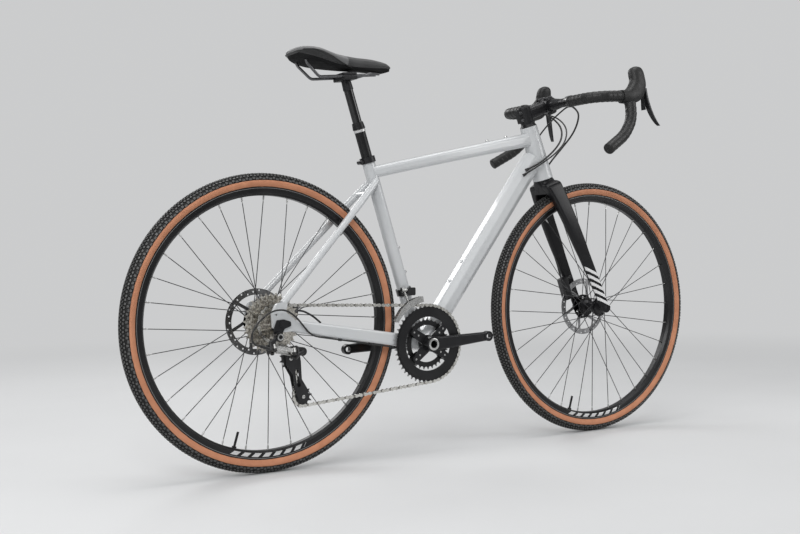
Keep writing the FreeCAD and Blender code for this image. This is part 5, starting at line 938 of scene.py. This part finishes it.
def stitched_cover(name):
    """Matt cover: a fine leather grain, a rear panel on top painted paler as lit, and painted shade on the
    flanks under its edge.
    """
    finish = drifting(name, (0.030, 0.030, 0.031), (0.048, 0.048, 0.049), (0.42, 0.56), scale=24.0,
                      grain=0.3, grain_scale=700.0, cells=1.0, depth=0.0003, specular=0.4)
    along = finish.axis("X")
    # Painted highlight: the rear panel on top is painted paler, as lit from above.
    finish.tint((0.135, 0.135, 0.137), ramp(finish.tree, along, panel_front, panel_front - 0.002))
    # Painted shade: the flanks under the panel's lower edge are painted darker.
    (first_x, first_z), (last_x, last_z) = panel_line
    edge = ramp(finish.tree, along, first_x, last_x, first_z, last_z)
    below = ramp(finish.tree, calc(finish.tree, "SUBTRACT", finish.axis("Z"), edge), 0.0, -0.0008)
    finish.tint((0.014, 0.014, 0.0145), below)
    finish.shader.inputs["Sheen Weight"].default_value = 0.12
    return finish


def swell(made, pinned, pressure, cap, frames=20):
    """Short cloth simulation under air pressure; pinned points stay, the rest move by cap at most."""
    start = np.array([v.co for v in made.data.vertices])
    group = made.vertex_groups.new(name="pinned")
    group.add(pinned, 1.0, "REPLACE")
    cloth = made.modifiers.new("swell", "CLOTH")
    cloth.settings.use_pressure = True
    cloth.settings.uniform_pressure_force = pressure
    cloth.settings.vertex_group_mass = "pinned"
    cloth.settings.tension_stiffness = 30.0
    cloth.settings.effector_weights.gravity = 0.0
    cloth.point_cache.frame_start = 1
    cloth.point_cache.frame_end = frames
    for step in range(1, frames + 1):
        bpy.context.scene.frame_set(step)
    swollen = made.evaluated_get(bpy.context.evaluated_depsgraph_get()).data
    moved = np.array([v.co for v in swollen.vertices]) - start
    length = np.linalg.norm(moved, axis=1, keepdims=True)
    moved *= np.minimum(1.0, cap / np.maximum(length, 1e-9))
    made.modifiers.remove(cloth)
    made.vertex_groups.remove(group)
    bpy.context.scene.frame_set(1)
    made.data.vertices.foreach_set("co", (start + moved).ravel())
    made.data.update()
    return float(np.linalg.norm(moved, axis=1).max())


saddle_skin = saddle_rings(np.linspace(0.0, 1.0, 64))
saddle_count = len(saddle_skin[0])
saddle_points = [point for ring in saddle_skin for point in ring]
saddle_faces = ring_faces(len(saddle_skin), saddle_count)
saddle_black = stitched_cover("saddle_black")
saddle = piece("saddle_top", saddle_points, saddle_faces, saddle_black, "seat_post")
section_last = len(saddle_section) - 1
seam_rows = {section_last - seam_row, section_last + seam_row}
pinned_rows = seam_rows | {0, 1, saddle_count - 2, saddle_count - 1}
last_ring = len(saddle_points) - saddle_count
pinned_points = [i for i in range(len(saddle_points))
                 if i % saddle_count in pinned_rows or i < saddle_count or i >= last_ring]
swelling = swell(saddle, pinned_points, 4.0, 0.0016)
print("saddle swells by", round(swelling * 1000, 2), "mm")

# %% [markdown]
# After the swelling comes the seam: its row of points is drawn in, so a real groove shows, and a
# subdivision rounds everything off. A moulded base closes the saddle from below, and a thin piping strip
# edges the rear panel, which is painted paler as lit from above, from the tail down to the hem.

# %% Saddle seam
seam_depth = 0.0010
normals = [v.normal.copy() for v in saddle.data.vertices]
for i, vertex in enumerate(saddle.data.vertices):
    if i % saddle_count in seam_rows:
        vertex.co -= normals[i] * seam_depth
smooth = saddle.modifiers.new("round off", "SUBSURF")
smooth.levels = smooth.render_levels = 1
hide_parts("saddle_cover")
print("seam drawn in by", seam_depth * 1000, "mm")

# %% Saddle base
# Section: share of the half width, height over the hem
base_section = ((-0.74, 0.0030), (-0.70, -0.0022), (-0.56, -0.0052), (-0.30, -0.0062), (0.0, -0.0058),
                (0.30, -0.0062), (0.56, -0.0052), (0.70, -0.0022), (0.74, 0.0030))
base_shares = np.linspace(0.02, 0.985, 60)
socket_level = 53
base_points = []
for share, width, _, edge in smooth_table(saddle_stations, base_shares):
    # Under the nose the base thickens into the sockets of the rails
    ease = min(1.0, max(0.0, (share - 0.5) / 0.1), (0.985 - share) / 0.085)
    socket = max(0.0, edge - socket_level) / 1000 * ease
    for across_share, height in base_section:
        depth = socket if height < 0 else 0.0
        base_points.append(Vector((saddle_tail + saddle_length * share, saddle_half * width * across_share,
                                   saddle_base + edge / 1000 + height - depth)))
base_faces = ring_faces(len(base_shares), len(base_section))
base_skin = piece("saddle_underside", base_points, base_faces, shell_black, "seat_post")
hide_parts("saddle_shell")
print("saddle base", len(base_points), "points")

# %% Saddle piping
piping_black = drifting("piping_black", (0.006, 0.006, 0.006), (0.010, 0.010, 0.010), (0.30, 0.42),
                        scale=50.0, grain=0.1, grain_scale=900.0)
piping_radius, piping_count, piping_rings, first_row = 0.0016, 10, range(2, 36), 4


def panel_edge(side):
    """Points on the cover where its rings cross the rear panel's lower edge."""
    (first_x, first_z), (last_x, last_z) = panel_line
    line = []
    for ring in piping_rings:
        middle = ring * saddle_count + section_last
        rows = [saddle.data.vertices[middle + side * row].co for row in range(first_row, section_last + 1)]
        share = min(max((rows[0].x - first_x) / (last_x - first_x), 0.0), 1.0)
        level = first_z + (last_z - first_z) * share
        for upper, lower in zip(rows, rows[1:]):
            if lower.z <= level < upper.z:
                line.append(upper.lerp(lower, (upper.z - level) / (upper.z - lower.z)))
                break
    return line


for side, way in (("right", -1), ("left", 1)):
    line = panel_edge(way)
    points = []
    for point, across_way, up_way in ring_frames(line):
        points += circle(point, across_way, up_way, [piping_radius] * piping_count)
    piece("saddle_piping_" + side, points, ring_faces(len(line), piping_count), piping_black, "seat_post")
    print(side, "piping through", len(line), "points")

# %% [markdown]
# The lever hoods are one smooth body each, from the tape up to the knob: rounded sections along a bent
# line, read from a table as the saddle's are. The lever needs its room in front, so a block is cut out of
# the skin; the left hood is the right one mirrored.

# %% Lever hoods
# Columns: place along the hood, x, y, z from the bar's middle, slope in degrees, width, depth
hood_table = np.array(((0.0, 84, -204.5, 4, 10, 33, 35), (1.0, 110, -206, 6, 26, 36, 41),
                       (2.0, 136, -203, 20, 46, 36.5, 52), (3.0, 151, -198, 44, 70, 36, 49),
                       (4.0, 151.5, -194, 65, 88, 35, 45), (5.0, 150.5, -191, 80, 96, 32, 40),
                       (5.6, 150, -190.2, 88, 98, 22, 27), (6.0, 150, -190, 91.5, 98, 7, 8)), float)
lever_pivot = bar_centre + Vector((0.153, -0.200, 0.025))
recess_round, recess_half, recess_foot, recess_reach = 0.0131, 0.0106, -0.0301, 0.040


def boxy(value):
    """Sine or cosine drawn outward, which brings a round section nearer to a box."""
    return math.copysign(abs(value) ** 0.8, value)


def hood_skin(name):
    """Rounded sections from the tape to the knob's top."""
    count = 48
    places = np.concatenate([np.linspace(0, 5, 50, endpoint=False), np.linspace(5, 6, 16)])
    points = []
    for _, x, y, z, slope, width, depth in smooth_table(hood_table, places):
        lean = math.radians(slope + 90)
        centre = bar_centre + Vector((x, y, z)) / 1000
        for k in range(count):
            turn = 2 * math.pi * k / count
            across = boxy(math.cos(turn)) * width / 2000
            along = boxy(math.sin(turn)) * depth / 2000
            points.append(centre + Vector((math.cos(lean) * along, across, math.sin(lean) * along)))
    return piece(name, points, ring_faces(len(places), count), hood_rubber, None)


def lever_recess():
    """Block round the lever's pivot, open to the front."""
    arc = np.radians(np.arange(90, 271, 10))
    outline = [(math.cos(a) * recess_round, math.sin(a) * recess_round) for a in arc]
    outline += [(-0.002, recess_foot), (recess_reach, recess_foot), (recess_reach, recess_round)]
    points = [lever_pivot + Vector((x, side * recess_half, z)) for side in (-1, 1) for x, z in outline]
    return piece("lever_recess", points, ring_faces(2, len(outline)), hood_rubber, None)


def carve(made, block):
    """Cut a block out of a piece for good, and drop the block."""
    cut = made.modifiers.new("carve", "BOOLEAN")
    cut.operation = "DIFFERENCE"
    cut.solver = "EXACT"
    cut.object = block
    carved = mesh_as_shown(made)
    made.modifiers.remove(cut)
    made.data = carved
    bpy.data.objects.remove(block)
    shade_smooth(carved)
    keep_creases(made, 50.0)


right_hood = hood_skin("hood_right")
carve(right_hood, lever_recess())
left_points = mirrored([v.co for v in right_hood.data.vertices])
left_faces = [tuple(reversed(p.vertices)) for p in right_hood.data.polygons]
left_hood = piece("hood_left", left_points, left_faces, hood_rubber, "steering")
keep_creases(left_hood, 50.0)
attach(right_hood, "steering")
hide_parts("lever_hoods")
print("hoods", len(right_hood.data.vertices), "points each")

# %% [markdown]
# A few bright bits finish the drive side: a ring round the crank's hollow axle, the screws of the two
# jockey wheels, a ring on the derailleur's bolt, and the clips that hold its cable under the stay.

# %% Small fittings on the drive side
outward = Vector((0, -1, 0))
# Profiles: distance along the axis, radius
axle_profile = ((-0.0004, 0.0092), (-0.0004, 0.0152), (0.0005, 0.0152), (0.0008, 0.0145), (0.0008, 0.0097))
screw_profile = ((-0.0004, 0.0042), (0.0009, 0.0042), (0.0013, 0.0036), (0.0013, 0.0019), (0.0005, 0.0017))
bolt_profile = ((-0.0010, 0.0050), (-0.0010, 0.0077), (0.0003, 0.0077), (0.0005, 0.0072), (0.0005, 0.0052))
clip_profile = ((0.0, 0.0021), (0.0, 0.0034), (0.008, 0.0034), (0.008, 0.0021))
stay_direction = Vector((-0.064, -0.009, 0.011))
turned_piece("axle_ring", crank_centre + outward * 0.0740, outward, axle_profile, bright_steel, "cranks",
             closed=True)
for name, x, z in (("guide_screw", -0.4719, 0.2688), ("tension_screw", -0.4405, 0.1777)):
    turned_piece(name, Vector((x, -0.0555, z)), outward, screw_profile, bright_steel, "cage")
turned_piece("bolt_ring", Vector((-0.519, -0.10155, 0.324)), outward, bolt_profile, bright_steel, "frame",
             closed=True)
for name, place in (("clip_front", (-0.2490, -0.0450, 0.2904)), ("clip_back", (-0.3390, -0.0576, 0.3058))):
    turned_piece(name, Vector(place), stay_direction, clip_profile, hood_rubber, "frame",
                 closed=True)
print("axle ring, screws, bolt ring and clips made")

# %% [markdown]
# The fork is moulded in one, so its skin flows from the crown into each leg without an edge. The solid's
# faces meet at its stations, and lacquer shows that. A smooth skin lies over the upper part of each leg, a
# little fuller than the solid, and sinks into it above the bars.

# %% Fork shoulders
fork_rake, crown_height = 0.045, 0.390
# Columns: distance below the crown, place to the side, chord, thickness, in mm
shoulder_table = np.array(((4, 21, 34, 10), (6, 22, 44, 22), (12, 25, 51.6, 32), (28, 31.5, 50, 28.5),
                           (50, 38, 47.8, 24), (110, 45.5, 43.8, 21.8), (180, 49.5, 40.2, 20.6),
                           (215, 51, 37.5, 18.8), (235, 51.9, 34.8, 17)), float)


def rounded_ring(centre, chord, thickness, radius):
    """Ring of a leg's rounded box section, square to the steering axis."""
    radius = min(radius, 0.45 * chord, 0.45 * thickness)
    ring = []
    for quarter, (a, b) in enumerate(((1, 1), (-1, 1), (-1, -1), (1, -1))):
        for k in range(9):
            turn = math.pi / 2 * (quarter + k / 8)
            side = a * (thickness / 2 - radius) + math.cos(turn) * radius
            ahead = b * (chord / 2 - radius) + math.sin(turn) * radius
            ring.append(centre + Vector((0, side, 0)) + steer_forward * ahead)
    return ring


corner_round = 0.0078
shoulder_rings = []
for below, y, chord, thickness in smooth_table(shoulder_table, np.concatenate([np.linspace(4, 12, 9),
                                                                               np.linspace(14, 235, 75)])):
    lead = fork_rake * below / 1000 / crown_height
    centre = steer_foot + steer_direction * (crown_height - below / 1000) + steer_forward * lead
    shoulder_rings.append(rounded_ring(centre - Vector((0, y / 1000, 0)), chord / 1000, thickness / 1000,
                                       corner_round))
shoulder_points = [point for ring in shoulder_rings for point in ring]
shoulder_faces = ring_faces(len(shoulder_rings), len(shoulder_rings[0]))
piece("fork_shoulder_right", shoulder_points, shoulder_faces, fork_paint, "steering")
piece("fork_shoulder_left", mirrored(shoulder_points), [tuple(reversed(f)) for f in shoulder_faces],
      fork_paint, "steering")
print("fork shoulders", len(shoulder_points), "points each")

# %% [markdown]
# The studio is a pale floor with soft lamps. Far from the bike the floor's own shading gives way to the
# background's tone, so that floor and background meet without an edge. Only rays straight from the camera
# see that tone: it adds neither light nor reflections to the bike.

# %% Studio floor and background
backdrop_tone = (0.60, 0.605, 0.61, 1.0)


def seen_directly(tree):
    """1 for camera and transmission rays, 0 for the rays that carry light or reflections."""
    path = tree.nodes.new("ShaderNodeLightPath").outputs
    return calc(tree, "MAXIMUM", path["Is Camera Ray"], path["Is Transmission Ray"])


def studio_floor():
    reach = 40.0
    mesh = bpy.data.meshes.new("studio_floor")
    corners = [(x * reach, y * reach, 0) for x, y in ((-1, -1), (1, -1), (1, 1), (-1, 1))]
    mesh.from_pydata(corners, [], [(0, 1, 2, 3)])
    paint = Finish("studio_floor", (0.61, 0.615, 0.62), 0.75)
    tree = paint.tree
    tone = paint.mix((0.60, 0.605, 0.61), (0.625, 0.63, 0.635), paint.group(MOTTLE, Scale=1.2)["Value"])
    paint.feed("Base Color", tone)
    length = linked(tree, "ShaderNodeVectorMath", {"operation": "LENGTH"}, i0=paint.place)
    distance = length.outputs["Value"]
    far = linked(tree, "ShaderNodeMapRange", {"interpolation_type": "SMOOTHSTEP"}, Value=distance,
                 From_Min=1.3, From_Max=4.5).outputs["Result"]
    glow = linked(tree, "ShaderNodeEmission", Color=backdrop_tone, Strength=1.0)
    blend = linked(tree, "ShaderNodeMixShader", i0=calc(tree, "MULTIPLY", far, seen_directly(tree)),
                   i1=paint.shader.outputs[0], i2=glow.outputs[0])
    tree.links.new(blend.outputs[0], paint.output.inputs["Surface"])
    mesh.materials.append(paint.material)
    floor = placed("studio_floor", mesh)


def studio_world():
    world = bpy.data.worlds.new("studio")
    world.use_nodes = True
    tree = world.node_tree
    plain = tree.nodes["Background"]
    plain.inputs["Color"].default_value = (0.82, 0.825, 0.83, 1.0)
    direction = tree.nodes.new("ShaderNodeTexCoord").outputs["Generated"]
    height = linked(tree, "ShaderNodeSeparateXYZ", Vector=direction).outputs["Z"]
    tree.links.new(ramp(tree, height, -0.15, 0.85, 0.16, 0.66), plain.inputs["Strength"])
    seen = linked(tree, "ShaderNodeBackground", Color=backdrop_tone, Strength=1.0)
    blend = linked(tree, "ShaderNodeMixShader", i0=seen_directly(tree), i1=plain.outputs[0],
                   i2=seen.outputs[0])
    tree.links.new(blend.outputs[0], tree.nodes["World Output"].inputs["Surface"])
    bpy.context.scene.world = world


studio_floor()
studio_world()
print("floor and background made")

# %% Lamps
def soft_lamp(name, location, target, width, height, power):
    light = bpy.data.lights.new(name, "AREA")
    light.shape = "RECTANGLE"
    light.size, light.size_y = width, height
    light.energy = power
    lamp = placed(name, light)
    lamp.location = location
    lamp.rotation_mode = "QUATERNION"
    lamp.rotation_quaternion = (Vector(target) - Vector(location)).to_track_quat("-Z", "Y")
    print(name, power, "W")


soft_lamp("key_lamp", (-3.0, -3.2, 3.2), (0, 0, 0.5), 2.6, 1.8, 92.0)
soft_lamp("front_lamp", (2.8, -2.6, 2.0), (0.2, 0, 0.5), 1.8, 1.8, 36.0)
soft_lamp("tread_lamp", (-3.6, -1.0, 1.9), (-0.6, 0, 0.5), 0.8, 1.8, 26.0)
soft_lamp("rim_lamp", (-0.6, 3.4, 2.6), (0, 0, 0.6), 3.2, 1.0, 46.0)
soft_lamp("top_lamp", (0.0, -0.2, 3.6), (0, 0, 0.4), 3.4, 1.4, 44.0)
